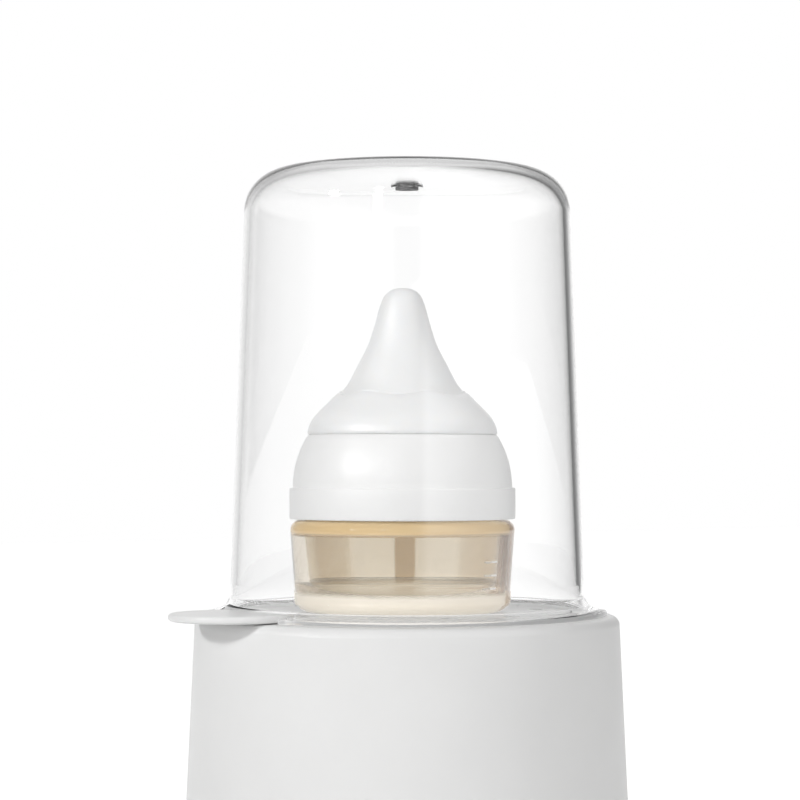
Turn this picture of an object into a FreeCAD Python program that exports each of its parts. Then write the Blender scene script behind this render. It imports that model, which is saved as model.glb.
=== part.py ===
"""A compact steam sterilizer for baby bottles: white tapered base, lift-out tray with a round finger tab,
clear bell-shaped dome with a steam vent, and a small wide-neck bottle standing on the tray.

Frame: millimetres, +Z up, origin on the table plane at the centre of the base, finger tab towards -X,
power button towards -Y, mains inlet towards +Y.
"""
import FreeCAD, Part
import math
import os

import Sketcher
from FreeCAD import Placement, Rotation, Vector

SIZES = [
    # base housing
    ("deck_height", 92.0, "top face of the base above the table"),
    ("foot_height", 3.0, "gap between the table and the base's lower edge"),
    ("base_top_radius", 60.0, "outer radius at the deck, before rounding"),
    ("base_flare", 4.0, "how much wider the lower edge is than the deck, in radius"),
    ("base_wall", 2.4, "wall of the base housing"),
    ("shoulder_radius", 2.6, "rounding of the deck's outer edge"),
    ("opening_radius", 47.0, "opening in the deck for the tray and dish"),
    ("ledge_width", 3.6, "ledge in that opening, under the dish's rim"),
    ("wall_cut_inside", 8.0, "how far a cut through the wall starts inside the outer face"),
    ("wall_cut_depth", 12.0, "cut through the wall"),
    # tray with finger tab
    ("tray_thickness", 2.0, "perforated tray plate"),
    ("tray_gap", 0.6, "radial gap between tray and opening"),
    ("tab_radius", 17.1, "round finger tab"),
    ("tab_overlap", 7.5, "how far the tab reaches inwards over the tray"),
    ("tab_thickness", 2.1, "finger tab"),
    ("tab_gap", 0.3, "gap between tab and deck"),
    ("tab_rounding", 0.9, "rounding of the tab's edges"),
    ("tab_step", 2.0, "how far the step under the tab stays inside its edge"),
    ("steam_hole_radius", 2.3, "hole in the tray"),
    ("outer_hole_ring", 39.0, "radius of the outer ring of tray holes"),
    ("inner_hole_ring", 21.0, "radius of the inner ring of tray holes"),
    # heating dish and heater
    ("dish_sheet", 0.8, "stainless sheet"),
    ("dish_depth", 12.0, "water depth below the rim"),
    ("dish_corner", 4.0, "inside corner of the dish"),
    ("seal_thickness", 1.5, "silicone ring under the dish's rim"),
    ("rim_gap", 0.3, "radial gap between dish rim and opening"),
    ("heater_radius", 30.0, "aluminium heat spreader"),
    ("heater_thickness", 6.0, "heat spreader"),
    ("element_ring", 22.0, "centre line of the tubular element"),
    ("element_radius", 3.2, "tubular element"),
    ("element_sweep", 300.0, "angle covered by the element, degrees"),
    ("terminal_width", 5.0, "flat terminal of the element"),
    ("terminal_thickness", 0.8, "flat terminal of the element"),
    ("terminal_length", 7.0, "flat terminal below the element"),
    ("terminal_turn", 4.0, "each terminal from its end of the element, degrees"),
    ("terminal_room", 2.0, "how much wider the clamp's window is than a terminal"),
    ("clamp_thickness", 1.5, "clamp that holds the heater up"),
    ("clamp_hole_radius", 17.0, "hole in the middle of the clamp"),
    ("clamp_post_ring", 53.5, "radius of the three clamp posts"),
    ("clamp_post_radius", 3.3, "clamp post"),
    ("clamp_rim", 2.0, "clamp ring beyond the element, and arm beyond its post"),
    ("clamp_arm_width", 9.0, "arm of the clamp"),
    ("cutout_radius", 8.0, "thermal cut-out"),
    ("cutout_height", 7.0, "thermal cut-out"),
    ("cutout_case_radius", 6.5, "case of the cut-out below its flange"),
    ("cutout_flange", 2.5, "flange of the cut-out"),
    ("cutout_tab_spread", 4.0, "terminals of the cut-out from its axis"),
    ("cutout_tab_width", 4.8, "terminal of the cut-out"),
    ("cutout_tab_thickness", 0.8, "terminal of the cut-out"),
    ("cutout_tab_length", 6.0, "terminal of the cut-out"),
    ("sensor_shift", -12.5, "temperature sensor from the axis, along X"),
    ("sensor_radius", 2.2, "temperature sensor"),
    ("sensor_length", 5.0, "temperature sensor"),
    ("sensor_taper", 1.4, "tapered end of the sensor"),
    ("sensor_tip_radius", 1.2, "tip of the sensor"),
    # bottom cover, feet, screws
    ("cover_thickness", 2.4, "bottom cover"),
    ("fit_gap", 0.3, "gap around pieces that drop into place"),
    ("vent_slot_length", 14.0, "cooling slot in the bottom cover"),
    ("vent_slot_width", 2.4, "cooling slot in the bottom cover"),
    ("vent_slot_ring", 20.0, "middle of each cooling slot from the axis"),
    ("cover_post_radius", 4.0, "post for a bottom screw"),
    ("cover_post_height", 20.0, "post for a bottom screw"),
    ("post_overlap", 0.8, "how far that post reaches into the wall"),
    ("foot_ring", 44.0, "feet from the base's axis"),
    ("foot_radius", 7.0, "rubber foot"),
    ("foot_stem_radius", 2.5, "stem that plugs the foot into the cover"),
    ("foot_taper", 1.0, "how much narrower the foot is where it stands"),
    ("screw_radius", 1.5, "shank of a screw"),
    ("screw_head_radius", 2.8, "pan head of a screw"),
    ("screw_head_height", 1.8, "pan head of a screw"),
    ("screw_length", 10.0, "shank of a screw"),
    ("screw_slot", 1.0, "width and depth of the cross slot"),
    ("screw_slot_length", 3.6, "cross slot"),
    ("screw_point", 1.0, "tapered end of a screw"),
    ("pilot_gap", 0.05, "gap around a shank or stem in its pilot hole"),
    ("pilot_spare", 1.0, "pilot hole beyond the screw's end"),
    ("screw_clearance", 0.3, "gap around a shank in a plate"),
    # main board
    ("board_width", 76.0, "main board along X"),
    ("board_depth", 60.0, "main board along Y"),
    ("board_thickness", 1.6, "circuit boards"),
    ("board_margin", 5.0, "screw holes from the board's edges"),
    ("standoff_height", 12.0, "main board above the cover"),
    ("standoff_radius", 3.0, "standoff"),
    ("block_chamfer", 0.6, "upright edges of a boxy component"),
    ("transformer_width", 17.0, "core of the transformer"),
    ("transformer_depth", 15.0, "core of the transformer"),
    ("transformer_height", 14.0, "core of the transformer"),
    ("transformer_x", -20.0, "transformer on the board"),
    ("transformer_y", 6.0, "transformer on the board"),
    ("winding_width", 13.0, "winding of the transformer"),
    ("winding_depth", 19.0, "winding of the transformer"),
    ("winding_rise", 3.0, "winding above the board"),
    ("winding_height", 8.0, "winding of the transformer"),
    ("relay_width", 19.0, "relay"),
    ("relay_depth", 15.5, "relay"),
    ("relay_height", 15.0, "relay"),
    ("relay_x", 4.0, "relay on the board"),
    ("relay_y", 9.0, "relay on the board"),
    ("capacitor_height", 15.5, "each capacitor"),
    ("capacitor_edge", 0.5, "rounded-off edge at a capacitor's top"),
    ("capacitor_groove", 0.35, "groove near a capacitor's foot"),
    ("block_width", 10.0, "terminal block"),
    ("block_depth", 26.0, "terminal block"),
    ("block_height", 11.0, "terminal block"),
    ("block_x", 25.0, "terminal block on the board"),
    ("block_y", -2.0, "terminal block on the board"),
    ("block_pitch", 6.2, "from one terminal to the next"),
    ("block_hole_radius", 2.0, "screw hole of a terminal"),
    ("block_hole_depth", 2.0, "screw hole of a terminal"),
    ("block_mouth", 4.0, "square mouth for a lead, and its height above the board"),
    ("block_mouth_depth", 5.0, "mouth for a lead"),
    # power button
    ("button_height", 30.0, "button's axis above the table"),
    ("button_radius", 7.3, "button cap"),
    ("button_travel", 0.8, "press depth"),
    ("button_proud", 1.1, "button face beyond the wall"),
    ("button_depth", 5.0, "button cap"),
    ("ring_inner_radius", 7.6, "light ring"),
    ("ring_outer_radius", 9.6, "light ring"),
    ("ring_proud", 0.5, "light ring beyond the wall"),
    ("ring_depth", 4.0, "light ring"),
    ("button_lip", 1.2, "thickness and reach of the lip that keeps the button in"),
    ("button_edge", 0.8, "rounding of the button's face"),
    ("ring_edge", 0.5, "rounding of the light ring's face"),
    ("plunger_gap", 0.1, "gap between plunger and button at the end of the travel"),
    ("switch_board_width", 36.0, "board behind the button"),
    ("switch_board_height", 20.0, "board behind the button"),
    ("switch_size", 6.0, "tactile switch body"),
    ("switch_depth", 3.6, "tactile switch body"),
    ("plunger_radius", 1.6, "tactile switch plunger"),
    ("plunger_length", 1.4, "tactile switch plunger"),
    ("switch_post_spread", 14.0, "posts of the switch board from the axis"),
    ("switch_post_radius", 2.6, "posts of the switch board"),
    ("switch_hole_radius", 1.0, "screw holes of the switch board"),
    ("switch_pilot_radius", 0.8, "pilot holes in those posts"),
    ("switch_pilot_depth", 3.0, "pilot holes in those posts"),
    # mains inlet
    ("inlet_height", 24.0, "inlet's axis above the table"),
    ("inlet_width", 24.0, "inlet body"),
    ("inlet_tall", 14.0, "inlet body"),
    ("inlet_depth", 20.0, "inlet body"),
    ("inlet_proud", 0.5, "inlet face beyond the wall"),
    ("socket_half_height", 4.3, "figure-of-eight socket"),
    ("socket_depth", 13.0, "figure-of-eight socket"),
    ("pin_spread", 4.3, "each pin from the inlet's axis"),
    ("pin_radius", 1.15, "inlet pin"),
    ("pin_length", 10.0, "inlet pin inside the socket"),
    ("pin_point", 0.6, "bevelled end of an inlet pin"),
    ("pin_tail", 5.0, "inlet pin behind the body"),
    # dome
    ("dome_height", 125.9, "dome's outer top above the deck"),
    ("dome_foot_radius", 50.4, "outer radius at the deck"),
    ("dome_top_radius", 45.9, "outer radius at the top, before rounding"),
    ("dome_wall", 2.0, "side wall"),
    ("dome_roof", 2.4, "roof"),
    ("dome_corner", 12.0, "outer rounding of the roof's edge"),
    ("dome_lift_gap", 0.3, "gap between flange and deck"),
    ("flange_radius", 56.6, "outer radius of the flange"),
    ("flange_root", 2.4, "flange thickness at the wall"),
    ("flange_lip", 1.1, "flange thickness at its rim"),
    ("flare_radius", 4.5, "hollow between wall and flange"),
    ("foot_rounding", 6.0, "rounding inside the dome's foot, which keeps the flare about as thick as the wall"),
    ("notch_gap", 2.4, "gap each side between the tab and the dome's notch"),
    ("notch_headroom", 0.4, "gap above the tab in the notch"),
    ("vent_radius", 2.6, "vent hole in the roof"),
    ("vent_boss_radius", 4.6, "boss under the roof round the vent"),
    ("vent_boss_height", 0.7, "boss under the roof round the vent"),
    ("grommet_bore", 1.5, "steam passage of the grommet"),
    ("grommet_neck", 2.5, "grommet inside the vent hole"),
    ("grommet_low_radius", 3.3, "grommet's lower flange"),
    ("grommet_low", 0.9, "grommet's lower flange"),
    ("grommet_top_radius", 3.8, "grommet's upper flange"),
    ("grommet_top", 0.6, "grommet's upper flange"),
    ("grommet_bevel", 0.4, "bevel of the upper flange"),
    # bottle
    ("bottle_shift", -1.5, "where the bottle stands on the tray, along X"),
    ("bottle_foot_radius", 30.0, "bottle at its foot, before rounding"),
    ("bottle_radius", 31.8, "bottle below the shoulder"),
    ("bottle_shoulder", 27.0, "top of the shoulder above the tray"),
    ("bottle_wall", 3.9, "bottle wall"),
    ("bottle_floor", 5.2, "bottle floor"),
    ("bottle_corner", 5.0, "rounding of the bottle's foot"),
    ("bottle_inner_corner", 5.5, "rounding inside the bottle's foot"),
    ("shoulder_rounding", 2.8, "upright band in which the bottle's shoulder is rounded"),
    ("shoulder_flat", 0.1, "what that rounding leaves of the band"),
    ("neck_radius", 28.0, "bottle neck under the thread"),
    ("neck_height", 12.0, "neck above the shoulder"),
    ("neck_wall", 2.6, "bottle neck"),
    ("neck_edge", 0.8, "rounding inside the rim of the neck"),
    ("neck_depth", 1.0, "neck's bore below the shoulder"),
    ("neck_cone", 2.5, "cone between bore and cup"),
    ("thread_low", 2.5, "lower ridge above the shoulder"),
    ("thread_pitch", 4.0, "from one ridge to the next"),
    ("thread_root", 0.5, "how deep a ridge is rooted in the neck"),
    ("thread_height", 1.6, "one turn's ridge on the neck"),
    ("thread_depth", 0.9, "ridge on the neck"),
    # collar and teat
    ("collar_gap", 0.3, "gap between collar and bottle"),
    ("band_radius", 32.0, "grip band of the collar"),
    ("band_height", 8.8, "grip band of the collar"),
    ("collar_radius", 31.1, "collar above the band"),
    ("collar_crown", 28.0, "radius of the collar's curved side"),
    ("collar_height", 23.8, "collar"),
    ("collar_wall", 1.8, "collar"),
    ("collar_hole", 23.6, "hole the teat passes through"),
    ("collar_step", 1.0, "thickening of the collar above the band"),
    ("band_edge", 0.4, "rounding of the band"),
    ("teat_skirt_radius", 26.8, "teat where it overhangs the collar"),
    ("teat_skirt_height", 2.0, "upright edge of the skirt"),
    ("teat_height", 41.6, "teat above the collar"),
    ("teat_flank_radius", 18.0, "teat where the cone meets the nipple"),
    ("teat_flank_height", 12.3, "that place above the collar"),
    ("teat_waist_radius", 9.2, "half way up the nipple"),
    ("teat_waist_height", 26.5, "that place above the collar"),
    ("nipple_radius", 6.6, "nipple below its rounded tip"),
    ("nipple_height", 36.6, "that place above the collar"),
    ("teat_wall", 1.9, "teat"),
    ("teat_flange_radius", 27.0, "flange clamped on the bottle's rim"),
    ("teat_flange", 1.6, "that flange"),
    ("teat_throat", 2.2, "how much narrower the teat is at the rim than the bottle's neck"),
    ("teat_throat_top", 3.4, "the same at the collar's top"),
    ("teat_gap", 0.2, "gap between the teat and the pieces that hold it"),
    ("teat_lead_in", 0.1, "how much the neck narrows towards the flange"),
    ("teat_skirt_share", 0.9, "skirt's radius at half the flank's height, as a share of its widest"),
    ("milk_hole", 0.6, "hole in the teat's tip"),
]

NEAR = 0.01  # two places closer than this are the same place

doc = FreeCAD.newDocument("bottle_sterilizer")
sheet = doc.addObject("Spreadsheet::Sheet", "Sizes")
subparts = []


def fill_sheet():
    """One row per driving dimension: its name, its value under that alias, and what it is."""
    for row, (alias, value, note) in enumerate(SIZES, start=1):
        sheet.set(f"A{row}", alias)
        sheet.set(f"B{row}", str(value))
        sheet.set(f"C{row}", note)
        sheet.setAlias(f"B{row}", alias)
    doc.recompute()


def bound(expression):
    """The expression with each size's alias written as a reference to the sheet."""
    names = {alias for alias, _, _ in SIZES}
    words, word = [], ""
    for letter in str(expression) + " ":
        if letter.isalnum() or letter == "_" or letter == ".":
            word += letter
            continue
        words.append(f"Sizes.{word}" if word in names else word)
        words.append(letter)
        word = ""
    return "".join(words).strip()


def value(expression):
    """The number that an expression of the sheet's aliases gives."""
    found = sheet.evalExpression(bound(expression))
    return float(getattr(found, "Value", found))


def place(thing, x="0", y="0", z="0", axis=Vector(0, 0, 1), angle=0.0):
    """Gives a sub-part its Placement, with the position bound to the sheet."""
    thing.Placement = Placement(Vector(value(x), value(y), value(z)), Rotation(axis, angle))
    for name, expression in (("x", x), ("y", y), ("z", z)):
        thing.setExpression(f"Placement.Base.{name}", bound(expression))
    return thing


def new_body(label):
    body = doc.addObject("PartDesign::Body", label)
    body.Label = label
    body.AllowCompound = True
    subparts.append(body)
    return body


def plane(body, role):
    return next(f for f in body.Origin.OriginFeatures if f.Role == role)


def new_sketch(body, role, offset=("0", "0", "0")):
    """A sketch on one of the body's own origin planes, shifted in that plane's own axes."""
    sketch = body.newObject("Sketcher::SketchObject", body.Label + "_sketch")
    sketch.AttachmentSupport = [(plane(body, role), "")]
    sketch.MapMode = "FlatFace"
    sketch.AttachmentOffset = Placement(Vector(*[value(e) for e in offset]), Rotation())
    for name, expression in zip("xyz", offset):
        sketch.setExpression(f"AttachmentOffset.Base.{name}", bound(expression))
    return sketch


def constrain(sketch, kind, expression, *where):
    """A dimension of a sketch, bound to the sheet."""
    index = sketch.addConstraint(Sketcher.Constraint(kind, *where, value(expression)))
    sketch.setExpression(f"Constraints[{index}]", bound(expression))


def arc_through(start, end, radius, turn):
    """The short arc of that radius from start to end, with its centre on the left or on the right."""
    chord = end - start
    half = chord.Length / 2
    side = Vector(-chord.y, chord.x, 0).normalize() * (1 if turn == "left" else -1)
    centre = start + chord * 0.5 + side * math.sqrt(max(radius * radius - half * half, 0))
    middle = centre + (start + chord * 0.5 - centre).normalize() * radius
    return Part.Arc(start, middle, end)


def draw(sketch, outline):
    """A closed outline. Each corner is (across, up), or (across, up, radius, turn) where an arc leaves it."""
    points = [Vector(value(c[0]), value(c[1]), 0) for c in outline]
    ends = []
    for i, corner in enumerate(outline):
        start, end = points[i], points[(i + 1) % len(points)]
        if len(corner) == 2:
            index = sketch.addGeometry(Part.LineSegment(start, end))
            ends.append((index, 1, 2))
        else:
            index = sketch.addGeometry(arc_through(start, end, value(corner[2]), corner[3]))
            ends.append((index, 1, 2) if corner[3] == "left" else (index, 2, 1))
    for i, (index, _, last) in enumerate(ends):
        following, first, _ = ends[(i + 1) % len(ends)]
        sketch.addConstraint(Sketcher.Constraint("Coincident", index, last, following, first))
    for corner, (index, first, _) in zip(outline, ends):
        constrain(sketch, "DistanceX", corner[0], index, first)
        constrain(sketch, "DistanceY", corner[1], index, first)
        if len(corner) > 2:
            constrain(sketch, "Radius", corner[2], index)
    sketch.Visibility = False


def draw_circle(sketch, radius, across="0", up="0"):
    centre = Vector(value(across), value(up), 0)
    index = sketch.addGeometry(Part.Circle(centre, Vector(0, 0, 1), value(radius)))
    constrain(sketch, "Radius", radius, index)
    constrain(sketch, "DistanceX", across, index, 3)
    constrain(sketch, "DistanceY", up, index, 3)
    sketch.Visibility = False


def rectangle(width, height, across="0", up="0"):
    """Corners of a rectangle centred at a place."""
    half_w, half_h = f"({width}) / 2", f"({height}) / 2"
    return [
        (f"{across} - {half_w}", f"{up} - {half_h}"),
        (f"{across} + {half_w}", f"{up} - {half_h}"),
        (f"{across} + {half_w}", f"{up} + {half_h}"),
        (f"{across} - {half_w}", f"{up} + {half_h}"),
    ]


def revolve(body, outline, across="0", up="0"):
    """Turns an outline of (radius, height) about the vertical line at (across, up)."""
    sketch = new_sketch(body, "XZ_Plane", (across, "0", f"-({up})"))
    draw(sketch, outline)
    turned = body.newObject("PartDesign::Revolution", f"{body.Label}_Revolution")
    turned.Profile = sketch
    turned.ReferenceAxis = (sketch, ["V_Axis"])
    turned.Angle = 360
    doc.recompute()
    return turned


def extrude(body, sketch, length, kind="Pad", backwards=False):
    """Pads or pockets a sketch. backwards turns the direction round. The volume has to change."""
    before = body.Shape.Volume if body.Tip and body.Tip != sketch else 0.0
    feature = body.newObject(f"PartDesign::{kind}", f"{body.Label}_{kind}")
    feature.Profile = sketch
    feature.Length = value(length)
    feature.setExpression("Length", bound(length))
    feature.Reversed = backwards
    doc.recompute()
    changed = body.Shape.Volume - before
    if (changed <= 0) if kind == "Pad" else (changed >= 0):
        raise ValueError(f"{feature.Label} changed nothing")
    return feature


def around(body, feature, count):
    """Repeats a feature about the body's own Z axis."""
    pattern = body.newObject("PartDesign::PolarPattern", f"{body.Label}_pattern")
    pattern.Originals = [feature]
    pattern.Axis = (plane(body, "Z_Axis"), [""])
    pattern.Angle = 360
    pattern.Occurrences = count
    body.Tip = pattern
    doc.recompute()
    return pattern


def rings(body, radius, height):
    """Names of the circular edges of that radius at that height about the body's axis."""
    wanted = Vector(value(radius), 0, value(height))
    found = []
    for number, edge in enumerate(body.Tip.Shape.Edges, start=1):
        curve = edge.Curve
        if not isinstance(curve, Part.Circle):
            continue
        off_axis = math.hypot(curve.Center.x, curve.Center.y)
        if (Vector(curve.Radius, off_axis, curve.Center.z) - wanted).Length < NEAR:
            found.append(f"Edge{number}")
    if not found:
        raise ValueError(f"{body.Label} has no ring of radius {radius} at {height}")
    return found


def round_edges(body, edges, radius, kind="Fillet"):
    rounded = body.Tip
    feature = body.newObject(f"PartDesign::{kind}", f"{body.Label}_{kind}")
    feature.Base = (rounded, edges)
    size = "Radius" if kind == "Fillet" else "Size"
    setattr(feature, size, value(radius))
    feature.setExpression(size, bound(radius))
    body.Tip = feature
    doc.recompute()
    if "Invalid" in feature.State:
        raise ValueError(f"{feature.Label} of {radius} failed: {feature.getStatusString()}")
    return feature


def turned_body(label, outline):
    body = new_body(label)
    revolve(body, outline)
    return body


# --- places worked out from the sizes -------------------------------------------------------------

HOUSING_SLOPE = "(base_flare / (deck_height - foot_height))"


def wall_radius(height):
    """Outer radius of the housing at a height above the table."""
    return f"(base_top_radius + {HOUSING_SLOPE} * (deck_height - ({height})))"


LEDGE_DROP = "(tray_thickness + dish_sheet + seal_thickness)"
LEDGE_RADIUS = "(opening_radius - ledge_width)"
DISH_RADIUS = f"({LEDGE_RADIUS} - dish_sheet - rim_gap)"
DISH_BOTTOM = "(tray_thickness + dish_depth + dish_sheet)"
HEATER_BOTTOM = f"({DISH_BOTTOM} + heater_thickness)"
CLAMP_TOP = f"({HEATER_BOTTOM} + element_radius)"
COVER_TOP = "(foot_height + cover_thickness)"
COVER_RADIUS = f"({wall_radius('foot_height')} - base_wall - fit_gap)"
COVER_POST_RING = f"({wall_radius('foot_height')} - base_wall - cover_post_radius + post_overlap)"
COVER_POST_SIDE = f"{COVER_POST_RING} * sin(45)"
BOARD_Z = f"({COVER_TOP} + standoff_height)"
BOARD_TOP = f"({BOARD_Z} + board_thickness)"
BOARD_CORNERS = [
    (f"{i} * (board_width / 2 - board_margin)", f"{j} * (board_depth / 2 - board_margin)")
    for i in ("-1", "1") for j in ("-1", "1")
]
FRONT_WALL = wall_radius("button_height")
BUTTON_BACK = f"({FRONT_WALL} + button_proud - button_depth)"
RING_BACK = f"({FRONT_WALL} + ring_proud - ring_depth)"
BUTTON_LIP_TOP = f"({RING_BACK} - fit_gap)"
PLUNGER_TIP = f"({BUTTON_LIP_TOP} - button_lip - button_travel - plunger_gap)"
SWITCH_FACE = f"({PLUNGER_TIP} - plunger_length)"
SWITCH_BOARD_FACE = f"({SWITCH_FACE} - switch_depth)"
REAR_WALL = wall_radius("inlet_height")
TAB_TOP = "(tab_gap + tab_thickness)"
TAB_REACH = "(opening_radius + tab_radius - tab_overlap)"
NECK_TOP = "(bottle_shoulder + neck_height)"
COLLAR_BOTTOM = "(bottle_shoulder + collar_gap)"
COLLAR_TOP = f"({COLLAR_BOTTOM} + collar_height)"
PILOT_RADIUS = "(screw_radius + pilot_gap)"
HOLE_RADIUS = "(screw_radius + screw_clearance)"
THROAT_LOW = "neck_radius - neck_wall - teat_throat"
THROAT_HIGH = "neck_radius - neck_wall - teat_throat_top"
DOME_SLOPE = "((dome_foot_radius - dome_top_radius) / dome_height)"
CAPACITORS = (("-22", "-12", "5"), ("-8", "-14", "4"))  # across, up and radius of each
TERMINAL_TURNS = ("terminal_turn", "(element_sweep - terminal_turn)")
FACING_FRONT = (Vector(1, 0, 0), 90.0)
FACING_REAR = (Vector(1, 0, 0), -90.0)


# --- base -----------------------------------------------------------------------------------------

def housing():
    """The tapered outer shell, with its deck, the stepped opening, screw posts and wall openings."""
    body = new_body("housing")
    low, high = wall_radius("foot_height"), "base_top_radius"
    under_deck = "deck_height - base_wall"
    ledge_top, ledge_low = f"deck_height - {LEDGE_DROP}", f"deck_height - {LEDGE_DROP} - base_wall"
    revolve(body, [
        (low, "foot_height"),
        (high, "deck_height"),
        ("opening_radius", "deck_height"),
        ("opening_radius", ledge_top),
        (LEDGE_RADIUS, ledge_top),
        (LEDGE_RADIUS, ledge_low),
        ("opening_radius + base_wall", ledge_low),
        ("opening_radius + base_wall", under_deck),
        (f"{wall_radius(under_deck)} - base_wall", under_deck),
        (f"{low} - base_wall", "foot_height"),
    ])
    round_edges(body, rings(body, high, "deck_height"), "shoulder_radius")
    hang_clamp_posts(body)
    stand_cover_posts(body)
    stand_switch_posts(body)
    open_front_and_rear(body)
    return body


def hang_clamp_posts(body):
    """Three posts under the deck, each with a pilot hole, that carry the heater clamp."""
    drop = f"deck_height - {CLAMP_TOP}"
    post = new_sketch(body, "XY_Plane", ("0", "0", drop))
    draw_circle(post, "clamp_post_radius", up="clamp_post_ring")
    around(body, extrude(body, post, f"{CLAMP_TOP} - base_wall / 2"), 3)
    pilot = new_sketch(body, "XY_Plane", ("0", "0", drop))
    draw_circle(pilot, PILOT_RADIUS, up="clamp_post_ring")
    around(body, extrude(body, pilot, "screw_length", "Pocket", backwards=True), 3)


def stand_cover_posts(body):
    """Four posts against the wall that take the bottom screws."""
    post = new_sketch(body, "XY_Plane", ("0", "0", COVER_TOP))
    draw_circle(post, "cover_post_radius", across=COVER_POST_SIDE, up=COVER_POST_SIDE)
    around(body, extrude(body, post, "cover_post_height"), 4)
    pilot = new_sketch(body, "XY_Plane", ("0", "0", COVER_TOP))
    draw_circle(pilot, PILOT_RADIUS, across=COVER_POST_SIDE, up=COVER_POST_SIDE)
    around(body, extrude(body, pilot, "screw_length + pilot_spare", "Pocket", backwards=True), 4)


def stand_switch_posts(body):
    """Two posts inside the front wall that the switch board is screwed to."""
    reach = f"sqrt(({FRONT_WALL} - base_wall / 2)^2 - switch_post_spread^2)"
    for side in ("-1", "1"):
        at = f"{side} * switch_post_spread"
        post = new_sketch(body, "XZ_Plane", ("0", "0", SWITCH_BOARD_FACE))
        draw_circle(post, "switch_post_radius", across=at, up="button_height")
        extrude(body, post, f"{reach} - {SWITCH_BOARD_FACE}")
        pilot = new_sketch(body, "XZ_Plane", ("0", "0", SWITCH_BOARD_FACE))
        draw_circle(pilot, "switch_pilot_radius", across=at, up="button_height")
        extrude(body, pilot, "switch_pilot_depth", "Pocket", backwards=True)


def open_front_and_rear(body):
    """The bore for the light ring in front, and the window for the mains inlet behind."""
    bore = new_sketch(body, "XZ_Plane", ("0", "0", f"{FRONT_WALL} - wall_cut_inside"))
    draw_circle(bore, "ring_outer_radius + fit_gap / 2", up="button_height")
    extrude(body, bore, "wall_cut_depth", "Pocket", backwards=True)
    window = new_sketch(body, "XZ_Plane", ("0", "0", f"-({REAR_WALL} + wall_cut_depth - wall_cut_inside)"))
    draw(window, rectangle("inlet_width + fit_gap", "inlet_tall + fit_gap", up="inlet_height"))
    extrude(body, window, "wall_cut_depth", "Pocket", backwards=True)


def bottom_cover():
    """The plate that closes the base from below, with screw holes, foot holes, vents and standoffs."""
    body = new_body("bottom_cover")
    base = new_sketch(body, "XY_Plane")
    draw_circle(base, COVER_RADIUS)
    extrude(body, base, "cover_thickness")
    for across, up in BOARD_CORNERS:
        standoff = new_sketch(body, "XY_Plane", ("0", "0", "cover_thickness"))
        draw_circle(standoff, "standoff_radius", across=across, up=up)
        extrude(body, standoff, "standoff_height")
        pilot = new_sketch(body, "XY_Plane", ("0", "0", "cover_thickness + standoff_height"))
        draw_circle(pilot, PILOT_RADIUS, across=across, up=up)
        extrude(body, pilot, "screw_length + pilot_spare / 2", "Pocket")
    for radius, across, up in (
        (HOLE_RADIUS, COVER_POST_SIDE, COVER_POST_SIDE),
        ("foot_stem_radius + pilot_gap", "foot_ring", "0"),
    ):
        hole = new_sketch(body, "XY_Plane", ("0", "0", "cover_thickness"))
        draw_circle(hole, radius, across=across, up=up)
        around(body, extrude(body, hole, "cover_thickness", "Pocket"), 4)
    vent = new_sketch(body, "XY_Plane", ("0", "0", "cover_thickness"))
    draw(vent, rectangle("vent_slot_length", "vent_slot_width", across="vent_slot_ring"))
    around(body, extrude(body, vent, "cover_thickness", "Pocket"), 10)
    return place(body, z="foot_height")


def feet():
    """Four rubber feet, each with a stem plugged into the bottom cover."""
    body = new_body("feet")
    foot = revolve(body, [
        ("0", "0"),
        ("foot_radius - foot_taper", "0"),
        ("foot_radius", "foot_height"),
        ("foot_stem_radius", "foot_height"),
        ("foot_stem_radius", "foot_height + cover_thickness"),
        ("0", "foot_height + cover_thickness"),
    ], "foot_ring")
    around(body, foot, 4)
    return body


def screw_outline():
    """Half section of a pan-head screw: head above zero, shank below."""
    return [
        ("0", "-screw_length"),
        ("screw_radius", "-screw_length + screw_point"),
        ("screw_radius", "0"),
        ("screw_head_radius", "0"),
        ("screw_head_radius", "screw_head_height * 0.6"),
        ("screw_head_radius * 0.6", "screw_head_height"),
        ("0", "screw_head_height"),
    ]


def screws(label, places, count=1):
    """Screws with their heads up at those (x, y), repeated about Z, in the body's own frame."""
    body = new_body(label)
    for across, up in places:
        turned = revolve(body, screw_outline(), across, up)
        if count > 1:
            around(body, turned, count)
    slot_height = "screw_head_height - screw_slot"
    for across, up in places:
        for length, width in (("screw_slot_length", "screw_slot"), ("screw_slot", "screw_slot_length")):
            slot = new_sketch(body, "XY_Plane", ("0", "0", slot_height))
            draw(slot, rectangle(length, width, across=across, up=up))
            cut = extrude(body, slot, "2 * screw_slot", "Pocket", backwards=True)
            if count > 1:
                around(body, cut, count)
    return body


def bottom_screws():
    """Four screws up through the bottom cover into the housing's posts, heads down."""
    body = screws("bottom_screws", [(COVER_POST_SIDE, COVER_POST_SIDE)], count=4)
    return place(body, z="foot_height", axis=Vector(1, 0, 0), angle=180.0)


def heating_dish():
    """The pressed stainless dish that the water is boiled in; its rim hangs on the seal."""
    inside_floor = "-tray_thickness - dish_depth"
    rim_top, rim_low = "-tray_thickness", "-tray_thickness - dish_sheet"
    rim_radius = "opening_radius - rim_gap"
    outer_radius = f"{DISH_RADIUS} + dish_sheet"
    body = turned_body("heating_dish", [
        ("0", inside_floor),
        (DISH_RADIUS, inside_floor),
        (DISH_RADIUS, rim_top),
        (rim_radius, rim_top),
        (rim_radius, rim_low),
        (outer_radius, rim_low),
        (outer_radius, f"-{DISH_BOTTOM}"),
        ("0", f"-{DISH_BOTTOM}"),
    ])
    round_edges(body, rings(body, DISH_RADIUS, inside_floor), "dish_corner")
    round_edges(body, rings(body, outer_radius, f"-{DISH_BOTTOM}"), "dish_corner + dish_sheet")
    return place(body, z="deck_height")


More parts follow.
